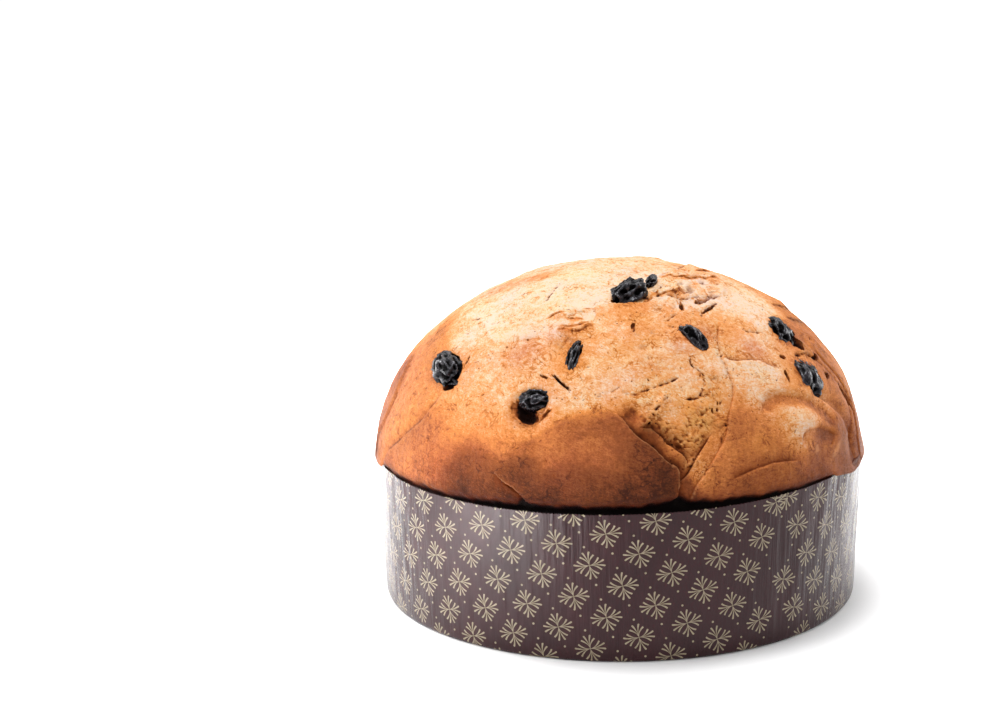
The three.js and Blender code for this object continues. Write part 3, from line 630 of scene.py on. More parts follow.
def foldRelief(fold, places, normals, height, shift):
    reach = 3 * fold["fall"]
    distance, travel, foot, near = fromRoute(fold["route"], places, normals, reach)
    over = onHighSide(fold, distance)
    fade = endFade(fold["route"], travel, fold.get("ends", 9))
    share = travel / fold["route"]["length"]
    startRise, endRise = fold["rise"]
    crest = (startRise + (endRise - startRise) * share) * np.exp(-over.clip(0) / fold["fall"])
    raised = (fold["sink"] + crest) * smoothstep(over, 0, fold["round"]) - fold["sink"]
    low = over.clip(None, 0)
    sunk = -fold["sink"] * (bell(low, fold["drain"]) if fold["round"] > 1.9 else np.exp(low / fold["drain"]))
    np.add.at(height, near, np.where(over < 0, sunk, raised) * fade)
    away = np.exp(-over.clip(0) / loafBuild["lapFade"])
    lap = fold["lap"] * smoothstep(over, 0, fold["round"]) * away * fade
    outward = (foot - places[near]) / np.maximum(np.abs(distance), 0.05)[:, None]
    np.add.at(shift, near, outward * np.where(over > 0, lap, 0)[:, None])


def flakeRelief(flake, places, normals, height):
    distance, travel, foot, near = fromRoute(flake["route"], places, normals, 4 * flake["back"])
    over = onHighSide(flake, distance)
    fade = endFade(flake["route"], travel, 4)
    step = np.where(over > 0, flake["step"] * smoothstep(over, 0, 0.4) * np.exp(-over / flake["back"]), 0)
    step -= 0.5 * flake["step"] * np.where(over > 0, 0, np.exp(over / 1.5))
    np.add.at(height, near, step * fade * (0.6 + 0.4 * patchy(travel, flake["path"][0][0])))


def lineRelief(line, places, normals, height):
    distance, travel, foot, near = fromRoute(line["route"], places, normals, 4 * line["half"])
    fade = endFade(line["route"], travel, min(5, line["route"]["length"] / 2.2))
    if line["half"] < 1.2:
        fade = fade * patchy(travel, line["path"][0][0])
    np.add.at(height, near, -line["depth"] * bell(distance, line["half"]) * fade)


def craterRelief(crater, places, height):
    distance = distanceTo(places, crater["centre"])
    height += crater["rim"] * bell(distance - crater["radius"] - 2, 3)
    height -= crater["depth"] * (1 - smoothstep(distance, crater["radius"] - 3, crater["radius"] + 1))


def lumps(p):
    x, y, z = p.T
    return 0.35 * np.sin(x / 17 + 1.3) * np.sin(y / 21 + 0.4) + 0.25 * np.sin(x / 9 - y / 12 + z / 14)


def spotsAt(spots, places, key):
    total = np.zeros(len(places))
    for spot in spots:
        distance = distanceTo(places, spot["centre"])
        inside = 1 - smoothstep(distance, 0.6 * spot["radius"], 1.25 * spot["radius"])
        total = np.maximum(total, spot[key] * inside)
    return total


def tornAt(places):
    # the torn places, with ragged edges
    ragged = 1 + 1.1 * cloudAt(places, 5, 12, 2)
    return np.clip(spotsAt(tornPlaces, places, "roughness") * ragged, 0, 1)


def crumpledAt(places):
    ragged = 1 + 0.7 * cloudAt(places, 11, 14, 2)
    return np.clip(spotsAt(crumpledPlaces, places, "roughness") * ragged, 0, 1)


def crumpleRidges(places):
    # sharp crests with wide bowls between: about -0.6 to 0.5
    bent = places + 2.2 * np.stack([cloudAt(places, 9, seed, 2) for seed in (41, 42, 43)], axis=1)
    return 0.5 - 1.5 * np.abs(cloudAt(bent, 9.5, 15, 2)) + 0.25 * (0.4 - np.abs(cloudAt(bent, 3.4, 16, 2)))


loafBuild = {
    "cuts": (7, 12),         # of a cube's edge, then of each piece: 104 pieces make a quarter turn
    "fineBand": 2.2,         # faces this close to a line are cut once more
    "finestBand": 0.8,       # and these twice
    "bodyTilts": [-0.02, -0.04, -0.06, -0.09, -0.13, -0.18, -0.27, -0.4, -0.55, -0.65, -0.754, -1.1],
    "snap": 0.3,
    "swell": 0.3,            # height of the unevenness a finger wide
    "grain": 0.12,           # and of the one a match wide
    "crags": 1.7,            # height of the crags where the crumb shows
    "crumples": 2.2,         # and of the soft ridges of crumpled skin
    "reliefShadingHeight": 0.35,      # relief that counts as fully raised or sunken for the painted highlight and painted shade
    "rimFade": 0.07,         # sine of the tilt under which the relief fades out towards the rim
    "hookFade": (0.05, 0.085),
    "lapFade": 4.0,          # how far from an edge its overhang fades
    "frontTurn": 1.3,        # the ragged edge over the gap is finer up to here, in radians
    "frontSine": 0.09,
}


def directionMesh():
    s = loafBuild
    deselectAll()
    bpy.ops.mesh.primitive_cube_add(size=2)
    loaf = newPiece("loaf_crust")
    mesh = loaf.data
    setMode("EDIT")
    bpy.ops.mesh.select_all(action="SELECT")
    for cuts in s["cuts"]:
        bpy.ops.mesh.subdivide(number_cuts=cuts)
    setMode("OBJECT")
    points = readPoints(mesh)
    selectVertices(mesh, points[:, 2] < -1e-4)
    setMode("EDIT")
    bpy.ops.mesh.delete(type="VERT")
    setMode("OBJECT")
    points = np.tan(readPoints(mesh) * math.pi / 4)
    points /= np.linalg.norm(points, axis=1, keepdims=True)
    writePoints(mesh, points)

    # rings of the body that stands in the case, pulled down from the dome's edge
    selectVertices(mesh, points[:, 2] < 1e-4)
    setMode("EDIT")
    bpy.ops.mesh.select_mode(type="EDGE")
    tilt = 0.0
    for nextTilt in s["bodyTilts"]:
        bpy.ops.mesh.extrude_edges_move()
        bpy.ops.transform.translate(value=(0, 0, math.sin(nextTilt) - math.sin(tilt)))
        size = math.cos(nextTilt) / math.cos(tilt)
        bpy.ops.transform.resize(value=(size, size, 1), center_override=(0, 0, 0))
        tilt = nextTilt
    bpy.ops.mesh.extrude_edges_move()
    bpy.ops.transform.translate(value=(0, 0, -1 - math.sin(tilt)))
    bpy.ops.mesh.merge(type="CENTER")
    bpy.ops.mesh.select_all(action="SELECT")
    bpy.ops.mesh.normals_make_consistent(inside=False)
    setMode("OBJECT")
    return loaf


def refineAlongLines(loaf):
    mesh = loaf.data
    for reach, isFirst in [(loafBuild["fineBand"], True), (loafBuild["finestBand"], False)]:
        directions = readPoints(mesh)
        places, normals = domePoint(directions), domeNormal(directions)
        close = np.zeros(len(directions), bool)
        for line in allLines:
            if line is valley or (not isFirst and line.get("round", 0) > 1.5):
                continue
            distance, travel, foot, near = fromRoute(line["route"], places, normals, reach)
            close[near] = True
        if isFirst:
            for raisin in raisins:
                centre = domePoint(crustDirection(raisin["at"]))
                close |= distanceTo(places, centre) < raisin["size"][0] / 2 + 2.5
            close |= spotsAt(tornPlaces, places, "roughness") > 0.2
            turn = azimuthOf(directions)
            close |= (overhangAt(turn) > 0.01) & (directions[:, 2] < 1.1 * loafSizes["overhangTilt"])
            # and the ragged edge over the gap, at the front
            close |= (np.abs(turn) < loafBuild["frontTurn"]) & (directions[:, 2] < loafBuild["frontSine"])
        close &= directions[:, 2] > -1e-3
        selectVertices(mesh, close)
        setMode("EDIT")
        bpy.ops.mesh.select_mode(type="VERT")
        bpy.ops.mesh.subdivide(number_cuts=1)
        setMode("OBJECT")
        directions = readPoints(mesh)
        directions /= np.linalg.norm(directions, axis=1, keepdims=True)
        writePoints(mesh, directions)
    return directions


def snapToLines(directions):
    places, normals = domePoint(directions), domeNormal(directions)
    best = np.full(len(directions), loafBuild["snap"])
    for line in [*folds, *flakes]:
        distance, travel, foot, near = fromRoute(line["route"], places, normals, loafBuild["snap"])
        inside = (travel > 0.5) & (travel < line["route"]["length"] - 0.5)
        better = inside & (np.abs(distance) < best[near]) & (directions[near, 2] > 0.05)
        best[near[better]] = np.abs(distance[better])
        target = (foot[better] - domeCentre) / domeAxes
        directions[near[better]] = target / np.linalg.norm(target, axis=1, keepdims=True)
    return directions


def crustRelief(directions):
    places, normals = domePoint(directions), domeNormal(directions)
    height = lumps(places)
    shift = np.zeros_like(places)
    for fold in folds:
        foldRelief(fold, places, normals, height, shift)
    for line in [*cracks, *ridges, valley]:
        lineRelief(line, places, normals, height)
    for flake in flakes:
        flakeRelief(flake, places, normals, height)
    for swell in swells:
        distance = distanceTo(places, swell["centre"])
        height += swell["height"] * bell(distance, swell["radius"])
    for crater in craters:
        craterRelief(crater, places, height)
    crags = 0.4 - np.abs(cloudAt(places, 2.6, 3)) + 0.4 * cloudAt(places, 1.1, 4, 2)
    height += tornAt(places) * loafBuild["crags"] * crags
    height += crumpledAt(places) * loafBuild["crumples"] * crumpleRidges(places)
    height += loafBuild["swell"] * cloudAt(places, 13, 1)
    height += loafBuild["grain"] * cloudAt(places, 2.6, 2)
    return height, shift, normals


def meanOfNeighbours(mesh, values, rounds):
    edges = np.empty(len(mesh.edges) * 2, int)
    mesh.edges.foreach_get("vertices", edges)
    first, second = edges.reshape(-1, 2).T
    count = np.bincount(edges, minlength=len(values))
    for i in range(rounds):
        total = np.bincount(first, values[second], len(values))
        total = total + np.bincount(second, values[first], len(values))
        values = 0.5 * values + 0.5 * total / np.maximum(count, 1)
    return values


def buildLoaf():
    loaf = directionMesh()
    directions = snapToLines(refineAlongLines(loaf))
    height, shift, normals = crustRelief(directions)
    up = directions[:, 2]
    hooked = smoothstep(overhangAt(azimuthOf(directions)), 0, 0.8)
    clear = smoothstep(up, 0, loafBuild["rimFade"])
    clear *= 1 - hooked * (1 - smoothstep(up, *loafBuild["hookFade"]))
    points = plainLoaf(directions) + (normals * height[:, None] + shift) * clear[:, None]
    writePoints(loaf.data, points * mm)
    # relief finer than its neighbours' mean: raised parts get a painted highlight, sunken parts painted shade
    fine = height - meanOfNeighbours(loaf.data, height, 6)
    return loaf, directions, np.clip(fine / loafBuild["reliefShadingHeight"], -1, 1)


loaf, loafDirections, loafReliefShading = buildLoaf()
print("loaf modelled:", len(loaf.data.polygons), "faces")


# Pockets that the raisins sit in, and hollows of the crumb: cut out of the loaf

# slip moves the pocket off its raisin, to the right and upwards, so that a dark gap shows
pocketSlips = {2: (0.2, -0.5), 5: (0.4, -0.6), 6: (0.4, -0.4), 7: (0.2, -0.8), 10: (-1.2, -1.4),
               12: (0.6, -1.0)}
pocketGap = 0.35
# Holes in the crust: the first seven are where it has parted from a raisin
hollows = rowsOf("at size turn sunk", [
    ((-51.9, 31.7), (8.5, 5.2, 8), 63, 0.6),
    ((-25.2, 29.3), (13.3, 8.7, 12), -57, 0.6),
    ((-19.9, 28.2), (9.3, 2.6, 5), 39, 0.3),
    ((-0.9, 69.5), (7.3, 4.1, 6), 38, 0.3),
    ((29.5, 48.5), (6.1, 4.4, 7), 20, 0.4),
    ((69.7, 41), (8.6, 7.5, 7), -54, 0.4),
    ((59.8, 28.6), (6.6, 4.6, 7), 86, 0.4),
    ((18.4, 69), (7, 3.4, 4), 44, 0.3),
    ((57.5, 39.7), (3.4, 2.7, 3.5), -68, 0.3),
    ((52.2, 34.1), (7, 2.2, 4.5), 24, 0.3),
    ((71.1, 28.9), (6.6, 2.2, 4), 79, 0.3),
    ((76.4, 20.3), (12.4, 4.4, 5), -17, 0.3),
    ((72.6, 35.1), (6.2, 3, 3), 81, 0.3),
    ((33.5, 63.5), (6.8, 2, 4), 25, 0.3),
    ((45, 63.6), (5.1, 2.4, 4), -84, 0.3),
    ((46.2, 60.4), (9.6, 1.8, 3.4), 75, 0.3),
    ((5.5, 57.4), (5, 2, 2), 21, 0.2),
    ((-16.7, 38.2), (11.4, 1.1, 3.4), -53, 0.3),
    ((-21.9, 39.5), (3.3, 1.3, 2.6), -64, 0.2),
    ((13.6, 20.5), (7.5, 3.6, 7), -40, 0.4),
    ((10.5, 23), (4, 1.8, 4), -50, 0.2),
    ((3, 30.3), (4.5, 3.2, 3), 60, 0.4),
    ((7.5, 27.2), (3.4, 1.4, 2), 45, 0.2),
    ((18, 30.6), (1.8, 1.3, 1.6), 20, 0.2),
    ((19.5, 27.5), (2.4, 1.6, 1.8), -20, 0.2),
    ((24, 29), (3.4, 1.0, 1.8), 8, 0.2),
    ((26, 31), (2.6, 0.9, 1.6), 8, 0.2),
    ((15.5, 23), (2.2, 1.3, 1.8), -60, 0.2),
    ((24.8, 20.5), (3, 0.9, 1.8), 14, 0.2),
    ((191, 21), (6, 3, 6), 40, 0.3),
    ((196, 27), (3, 1.6, 2), -20, 0.2),
    ((203, 22), (2.4, 1.4, 2), 30, 0.2),
    ((106, 21), (5, 2.4, 5), -20, 0.3),
])


def lyingFrame(spot):
    # axes across, along and out of a raisin or hollow, and the place of its middle
    direction = crustDirection(spot["at"])
    normal = domeNormal(direction)
    right = np.array([-normal[1], normal[0], 0])
    right /= np.linalg.norm(right)
    uphill = np.cross(normal, right)
    turn = math.radians(spot["turn"])
    along = uphill * math.cos(turn) + right * math.sin(turn)
    across = np.cross(along, normal)
    middle = domePoint(direction) - normal * spot["sunk"]
    return np.array([across, along, normal]), middle, right, uphill


def halfSizes(spot):
    # what shows is a slice through the ellipsoid, which is wider below the crust
    thick = spot["size"][2] / 2
    spread = 1 / math.sqrt(1 - (spot["sunk"] / thick) ** 2)
    return np.array([spot["size"][1] / 2 * spread, spot["size"][0] / 2 * spread, thick])


def cutterFor(spot, gap, slip=(0, 0)):
    axes, middle, right, uphill = lyingFrame(spot)
    deselectAll()
    bpy.ops.mesh.primitive_ico_sphere_add(subdivisions=4 if spot["size"][0] > 9 else 3, radius=1)
    cutter = newPiece("cutter")
    unit = readPoints(cutter.data)
    wobble = np.array([noise.noise(Vector(p * 1.6 + middle)) + 0.5 * noise.noise(Vector(p * 4.2 + middle))
                       for p in unit])
    wobble = 1 + (0.16 if gap else 0.32) * wobble
    half = halfSizes(spot) + gap + 0.45 * math.hypot(*slip) * np.array([1, 1, 0.3])
    middle = middle + right * slip[0] + uphill * slip[1]
    writePoints(cutter.data, (middle + (unit * wobble[:, None] * half) @ axes) * mm)
    return cutter


def cutAway(piece, cutters):
    deselectAll()
    for cutter in cutters:
        cutter.select_set(True)
    bpy.context.view_layer.objects.active = cutters[0]
    if len(cutters) > 1:
        bpy.ops.object.join()
    applyModifier(piece, "BOOLEAN", operation="DIFFERENCE", object=cutters[0], solver="MANIFOLD")
    bpy.data.objects.remove(cutters[0])


def cutPockets(piece):
    # returns, for each vertex of the cut loaf, the nearest one that there was before, and how
    # far under the crust it is
    before = readPoints(piece.data) / mm
    pockets = [cutterFor(spot, pocketGap, pocketSlips.get(i, (0, 0))) for i, spot in enumerate(raisins)]
    holes = [cutterFor(spot, 0) for spot in hollows]
    # cutters that touch each other go in different cuts
    for cutters in (pockets[:4] + pockets[5:], [pockets[4]] + holes[:2] + holes[3:], holes[2:3]):
        cutAway(piece, cutters)
    after = readPoints(piece.data) / mm
    tree = kdtree.KDTree(len(before))
    for i, point in enumerate(before):
        tree.insert(point, i)
    tree.balance()
    found = [tree.find(point) for point in after]
    nearest = np.array([hit[1] for hit in found])
    depth = np.array([hit[2] for hit in found])
    return nearest, depth


loafNearest, loafDepth = cutPockets(loaf)
loafTriangles = sum(len(face.vertices) - 2 for face in loaf.data.polygons)
print("pockets cut:", len(raisins) + len(hollows), "triangles:", loafTriangles)


# How brown the crust is painted, by azimuth, tilt, level and reach: level 0 is pale, 1 nearly black.
# The levels hold both the crust's own browning and painted shade: the low skin at the front is
# painted darker where less light reaches it

bakeAndShadePlaces = [
    (-88, 20, 0.70, 16), (-92, 71, 0.30, 6), (-95, 62, 0.28, 7), (-74, 26, 0.52, 14), (-78, 40, 0.56, 9),
    (-62, 8, 0.58, 14), (-50, 14, 0.64, 14), (-45, 28, 0.34, 12), (-42, 38, 0.20, 12), (-30, 42, 0.20, 12),
    (-60, 50, 0.12, 9), (-73, 50, 0.14, 8), (-45, 58, 0.10, 14), (-25, 66, 0.04, 12), (-70, 62, 0.10, 14),
    (-10, 78, 0.05, 16), (60, 86, 0.03, 12), (180, 84, 0.14, 20), (-34, 9, 0.84, 11), (-20, 9, 0.92, 11),
    (-38, 7, 0.90, 8), (-30, 22, 0.40, 8), (-18, 20, 0.40, 8), (-5, 20, 0.64, 12), (-8, 10, 0.87, 12),
    (5, 18, 0.78, 9), (2, 8, 0.96, 8), (11, 9, 0.86, 6), (-8, 36, 0.20, 9), (-18, 46, 0.34, 7),
    (-22, 58, 0.12, 9), (-22, 50, 0.34, 4), (-27, 60, 0.36, 3.5), (-5, 50, 0.24, 9), (2, 60, 0.34, 9),
    (14, 62, 0.27, 8), (8, 42, 0.22, 9), (12, 33, 0.25, 7), (18, 26, 0.38, 6), (13, 20, 0.34, 5),
    (22, 42, 0.20, 8), (30, 58, 0.26, 8), (30, 34, 0.30, 7), (24, 14, 0.44, 7), (19, 13, 0.34, 4),
    (46, 17, 0.14, 6), (32, 20, 0.54, 9), (40, 34, 0.08, 9), (30, 8, 0.68, 9), (42, 12, 0.58, 8),
    (44, 25, 0.36, 6), (49, 21, 0.14, 8), (54, 26.5, 0.38, 6), (46, 29, 0.34, 6), (56, 12, 0.62, 6),
    (46, 4, 0.72, 10), (62, 24, 0.30, 6), (70, 20, 0.56, 7), (68, 8, 0.70, 8), (60, 36, 0.36, 8),
    (50, 44, 0.17, 8), (48, 54, 0.32, 8), (58, 60, 0.04, 9), (76, 58, 0.02, 12), (45, 70, 0.0, 12),
    (72, 72, 0.08, 12), (74, 42, 0.60, 8), (78, 30, 0.62, 8), (88, 24, 0.46, 12), (88, 8, 0.62, 12),
    (95, 44, 0.56, 12), (110, 60, 0.26, 16), (112, 30, 0.48, 16), (115, 10, 0.62, 16), (140, 46, 0.30, 16),
    (140, 18, 0.58, 14), (165, 32, 0.44, 14), (165, 8, 0.72, 14), (165, 60, 0.22, 16), (192, 22, 0.58, 10),
    (195, 46, 0.28, 14), (200, 8, 0.72, 14), (220, 24, 0.55, 14), (220, 50, 0.28, 16), (238, 10, 0.64, 14),
    (245, 34, 0.42, 14), (250, 58, 0.16, 16), (262, 16, 0.50, 14), (262, 38, 0.34, 14), (210, 70, 0.12, 18),
    (130, 74, 0.16, 16),
]

# Where the skin is mauve: azimuth, tilt, strength and reach
blushPlaces = [
    (34, 53, 0.9, 6), (47, 44, 0.8, 6), (-46, 8, 0.9, 10), (-33, 46, 0.8, 10), (-24, 53, 0.5, 6),
    (5, 28, 0.7, 6), (22, 49, 0.7, 6), (-12, 16, 0.2, 12), (78, 8, 0.4, 10), (52, 8, 0.3, 8),
    (60, 36, 0.3, 6), (-58, 36, 0.5, 8), (10, 44, 0.4, 8), (-95, 60, 0.7, 10), (-90, 66, 0.6, 8),
    (150, 40, 0.7, 12), (185, 50, 0.6, 12), (200, 14, 0.7, 12), (230, 40, 0.6, 12), (255, 12, 0.6, 14),
    (110, 18, 0.7, 12),
]
# Small pale scabs of broken skin
scabs = rowsOf("at size turn sunk", [
    ((52.4, 11), (4.2, 3.2, 2), 30, 0), ((60.5, 8.2), (12, 3, 2), 62, 0), ((-22, 46), (3, 2, 2), 20, 0),
    ((206, 20), (6, 3, 2), 40, 0),
])


crustPaint = {
    "unset": 0.4,            # how brown the crust is painted far from every place in the table
    "crumple": (0.4, -0.03), # how much browner crumpled skin is: by its ridges, and all over
    "foldReach": 12,         # how far a fold darkens, and how fast the painted shade under it ends
    "foldShadeFade": 2.2,
    "lineReach": 5,
    "flakeShadeOrange": 0.3,
    "raisinShadeRing": (0.4, 0.6),    # painted shade at a raisin's edge, and the reach of it
    "raisinHalo": (0.2, 2.2),    # the browner ring round it
    # painted shade down in the pockets and hollows, by depth under the crust, and how much browner they are
    "holeShade": 0.96,
    "holeDepths": (0.1, 2.2),
    "holeBake": 0.3,
    "edgeBake": 0.22,        # how much browner the crust is at its edge, and how far up
    "edgeReach": 5,
    "nearby": 20,            # spots on the far side are left out
}


def bakeAndShadeLevels(places):
    weights = np.full(len(places), 1e-6)
    levels = weights * crustPaint["unset"]
    for azimuth, tilt, level, reach in bakeAndShadePlaces:
        distance = distanceTo(places, domePoint(crustDirection((azimuth, tilt))))
        weight = bell(distance, reach)
        weights += weight
        levels += weight * level
    return levels / weights


def paintLoaf(piece, directions, reliefShading, depth):
    p = crustPaint
    places, normals = domePoint(directions), domeNormal(directions)
    mesh = piece.data
    byRidge, allOver = p["crumple"]
    # bake: the crust's browning, holding also the painted shade of the table and of the marks below
    bake = bakeAndShadeLevels(places)
    bake += crumpledAt(places) * (byRidge * crumpleRidges(places) + allOver)
    blush = np.zeros(len(places))
    for azimuth, tilt, level, reach in blushPlaces:
        distance = distanceTo(places, domePoint(crustDirection((azimuth, tilt))))
        blush = np.maximum(blush, level * bell(distance, reach))
    # dark: painted shade under folds and flakes, in cracks, round raisins and in holes
    dark = np.zeros(len(places))
    lip = np.zeros(len(places))
    for fold in folds:
        distance, travel, foot, near = fromRoute(fold["route"], places, normals, p["foldReach"])
        over = onHighSide(fold, distance)
        fade = endFade(fold["route"], travel, 6)
        # painted shade just under each fold's edge, and below it a painted highlight along the edge itself
        under = np.where(over < 0, np.exp(over / p["foldShadeFade"]), bell(over, 0.25 + 0.2 * fold["round"]))
        np.maximum.at(dark, near, fold["shade"] * under * fade)
        edge = bell(over - 0.75 * fold["round"], 0.28)
        np.maximum.at(lip, near, fold["lip"] * edge * fade)
        onHigh, onLow = fold["bake"]
        reach = min(fold["fall"], 14)
        blend = smoothstep(over, -0.35 * fold["round"], 0.65 * fold["round"])
        step = blend * onHigh * np.exp(-over.clip(0) / reach)
        wide = fold.get("stain")
        low = 1 - smoothstep(-over, 0.45 * wide, wide) if wide else np.exp(over.clip(None, 0) / (0.6 * reach))
        step += (1 - blend) * onLow * low
        np.add.at(bake, near, step * endFade(fold["route"], travel, fold.get("ends", 9)))
    # painted shade inside each crack
    for crack in cracks:
        distance, travel, foot, near = fromRoute(crack["route"], places, normals, p["lineReach"])
        fade = endFade(crack["route"], travel, min(2.5, crack["route"]["length"] / 2.2))
        fade *= patchy(travel, crack["path"][0][0])
        np.maximum.at(dark, near, crack["dark"] * bell(distance, 0.8 * crack["half"]) * fade)
    for flake in flakes:
        distance, travel, foot, near = fromRoute(flake["route"], places, normals, p["lineReach"])
        over = onHighSide(flake, distance)
        # painted shade under each flake's step: a dark line, and an orange shade below it
        line = flake["dark"] * np.where(over < 0, np.exp(over / 0.45), bell(over, 0.3))
        line = line * endFade(flake["route"], travel, 4) * patchy(travel, flake["path"][0][0])
        np.maximum.at(dark, near, line)
        orangeShade = p["flakeShadeOrange"] * np.where(over < 0, np.exp(over / 1.6), bell(over, 0.5))
        np.add.at(bake, near, orangeShade * endFade(flake["route"], travel, 3))

    def acrossSpot(spot, start):
        # distance from the spot's middle in half sizes, its mean half size, and what is near it
        axes = lyingFrame(spot)[0]
        offset = (places - start) @ axes.T
        size = np.array([spot["size"][1], spot["size"][0]]) / 2
        share = np.hypot(offset[:, 0] / size[0], offset[:, 1] / size[1])
        return share, size.mean(), np.abs(offset[:, 2]) < p["nearby"]

    for spot in raisins:
        share, size, close = acrossSpot(spot, domePoint(crustDirection(spot["at"])))
        ring = np.maximum((share - 1) * size, 0)
        (ringShade, ringReach), (haloBake, haloReach) = p["raisinShadeRing"], p["raisinHalo"]
        # painted shade round the raisin's edge
        dark = np.maximum(dark, ringShade * np.exp(-ring / ringReach) * close)
        bake += haloBake * np.exp(-ring / haloReach) * close
    for spot in scabs:
        share, size, close = acrossSpot(spot, lyingFrame(spot)[1])
        inside = (1 - smoothstep(share, 0.6, 1.1)) * close
        lip = np.maximum(lip, inside)
        dark = dark * (1 - inside)
    # painted shade down in the pockets and hollows
    dark = np.maximum(dark, p["holeShade"] * smoothstep(depth, *p["holeDepths"]))
    bake += p["holeBake"] * smoothstep(depth, 0, 0.5)
    azimuth = azimuthOf(directions)
    overRim = domeAxes[2] * directions[:, 2]
    wavy = 1 + 0.5 * cloudAt(places * np.array([1, 1, 0]), 7, 31)
    bake += p["edgeBake"] * np.exp(-np.maximum(overRim, 0) / (p["edgeReach"] * wavy))
    # how deep the painted shade of the gap is, by azimuth
    shadeInGap = np.interp(np.degrees(azimuth), *zip(*gapShadeDepths))
    past = overRim - gapAt(azimuth) + 0.5 * cloudAt(places, 2.4, 33, 2)
    gap = np.where(past < 0, past * shadeInGap, past)
    for name, values in dict(gap=gap, bake=bake, reliefShading=reliefShading, blush=blush, dark=dark, lip=lip,
                             torn=tornAt(places)).items():
        paint(mesh, name, values)


paintLoaf(loaf, loafDirections[loafNearest], loafReliefShading[loafNearest] * (loafDepth < 0.05), loafDepth)
print("loaf painted")


# Raisins: shrunken, with sharp crooked wrinkles that run mostly along them

raisinLook = {
    "subdivisions": 5,
    "wrinkles": [(1.1, 0.26), (2.2, 0.18), (4.4, 0.08), (8.0, 0.025)],    # fineness and height
    "stretch": 0.55,         # under 1 the wrinkles run along the raisin
    "plump": 0.95,
    "grow": 0.2,
}


def buildRaisin(number, spot):
    s = raisinLook
    deselectAll()
    bpy.ops.mesh.primitive_ico_sphere_add(subdivisions=s["subdivisions"], radius=1)
    raisin = newPiece(f"raisin_skin_{number + 1:02d}")
    unit = readPoints(raisin.data)
    seed = np.array([number * 5.3, number * 2.9, number * 8.1])
    radius = np.full(len(unit), s["plump"])
    crest = np.zeros(len(unit))
    for fineness, tall in s["wrinkles"]:
        scaled = unit * np.array([1, s["stretch"], 1]) * fineness + seed
        waves = np.array([noise.noise(Vector(p)) for p in scaled])
        ridge = smoothstep(np.abs(waves), 0.5, 0.0)
        radius += tall * ridge - 0.45 * tall
        if fineness > 2:
            crest += tall * ridge
    axes, middle, right, uphill = lyingFrame(spot)
    points = middle + (unit * radius[:, None] * (halfSizes(spot) + s["grow"])) @ axes
    writePoints(raisin.data, points * mm)
    # crest: how high on the fine wrinkles, for the painted shade in the crevices
    paint(raisin.data, "crest", crest / crest.max())
    makeActive(raisin)
    bpy.ops.object.shade_smooth()
    raisin.data.materials.append(raisinMaterial)
    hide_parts(f"raisin_{number + 1:02d}")
    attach(raisin, "root")


# Building materials out of nodes

def colour(code):
    channels = [int(code[i:i + 2], 16) / 255 for i in (0, 2, 4)]
    return tuple(c / 12.92 if c <= 0.04045 else ((c + 0.055) / 1.055) ** 2.4 for c in channels) + (1.0,)


class Graph:
    # the nodes of one material: each step takes numbers or sockets and gives a socket
    def __init__(self, name):
        self.material = bpy.data.materials.new(name)
        self.material.use_nodes = True
        self.tree = self.material.node_tree
        self.surface = self.tree.nodes["Principled BSDF"]

    def node(self, kind, inputs=None, **settings):
        node = self.tree.nodes.new("ShaderNode" + kind)
        for key, value in settings.items():
            setattr(node, key, value)
        for socket, value in (inputs or {}).items():
            if isinstance(value, bpy.types.NodeSocket):
                self.tree.links.new(value, node.inputs[socket])
            else:
                node.inputs[socket].default_value = value
        return node

    def feed(self, socket, value):
        self.tree.links.new(value, self.surface.inputs[socket])

    def calc(self, operation, first, second=0.0, third=0.0):
        return self.node("Math", {0: first, 1: second, 2: third}, operation=operation).outputs[0]

    def times(self, first, second):
        return self.calc("MULTIPLY", first, second)

    def minus(self, first, second):
        return self.calc("SUBTRACT", first, second)

    def larger(self, first, second):
        return self.calc("MAXIMUM", first, second)

    def weighted(self, start, *parts):
        total = start
        for value, weight in parts:
            total = self.calc("MULTIPLY_ADD", value, weight, total)
        return total

    def blend(self, share, low, high, kind="MIX"):
        node = self.node("Mix", {0: share, 6: low, 7: high}, data_type="RGBA", blend_type=kind)
        return node.outputs[2]

    def painted(self, name):
        return self.node("Attribute", attribute_name=name).outputs["Fac"]

    def place(self):
        return self.node("TexCoord").outputs["Object"]

    def ramp(self, value, stops):
        node = self.node("ValToRGB", {0: value})
        elements = node.color_ramp.elements
        while len(elements) < len(stops):
            elements.new(0.5)
        for element, (position, code) in zip(elements, stops):
            element.position = position
        for element, (position, code) in zip(elements, stops):
            element.color = colour(code)
        return node.outputs[0]

    def rescale(self, value, low, high, newLow=0.0, newHigh=1.0):
        inputs = {0: value, 1: low, 2: high, 3: newLow, 4: newHigh}
        return self.node("MapRange", inputs, clamp=True).outputs[0]

    def noise(self, where, scale, detail=3.0, roughness=0.55, twist=0.0):
        inputs = {"Vector": where, "Scale": scale, "Detail": detail, "Roughness": roughness,
                  "Distortion": twist}
        return self.node("TexNoise", inputs).outputs["Fac"]

    def cloud(self, *settings):
        # noise, from its usual range to about -1 to 1
        return self.rescale(self.noise(*settings), 0.3, 0.7, -1, 1)


crustColours = [
    (0.00, "d2c0b2"), (0.12, "d3b89c"), (0.20, "d0a47d"), (0.32, "cd915b"), (0.45, "c47d42"),
    (0.60, "aa6837"), (0.75, "874b28"), (0.90, "5f3116"), (1.00, "391a0b"),
]


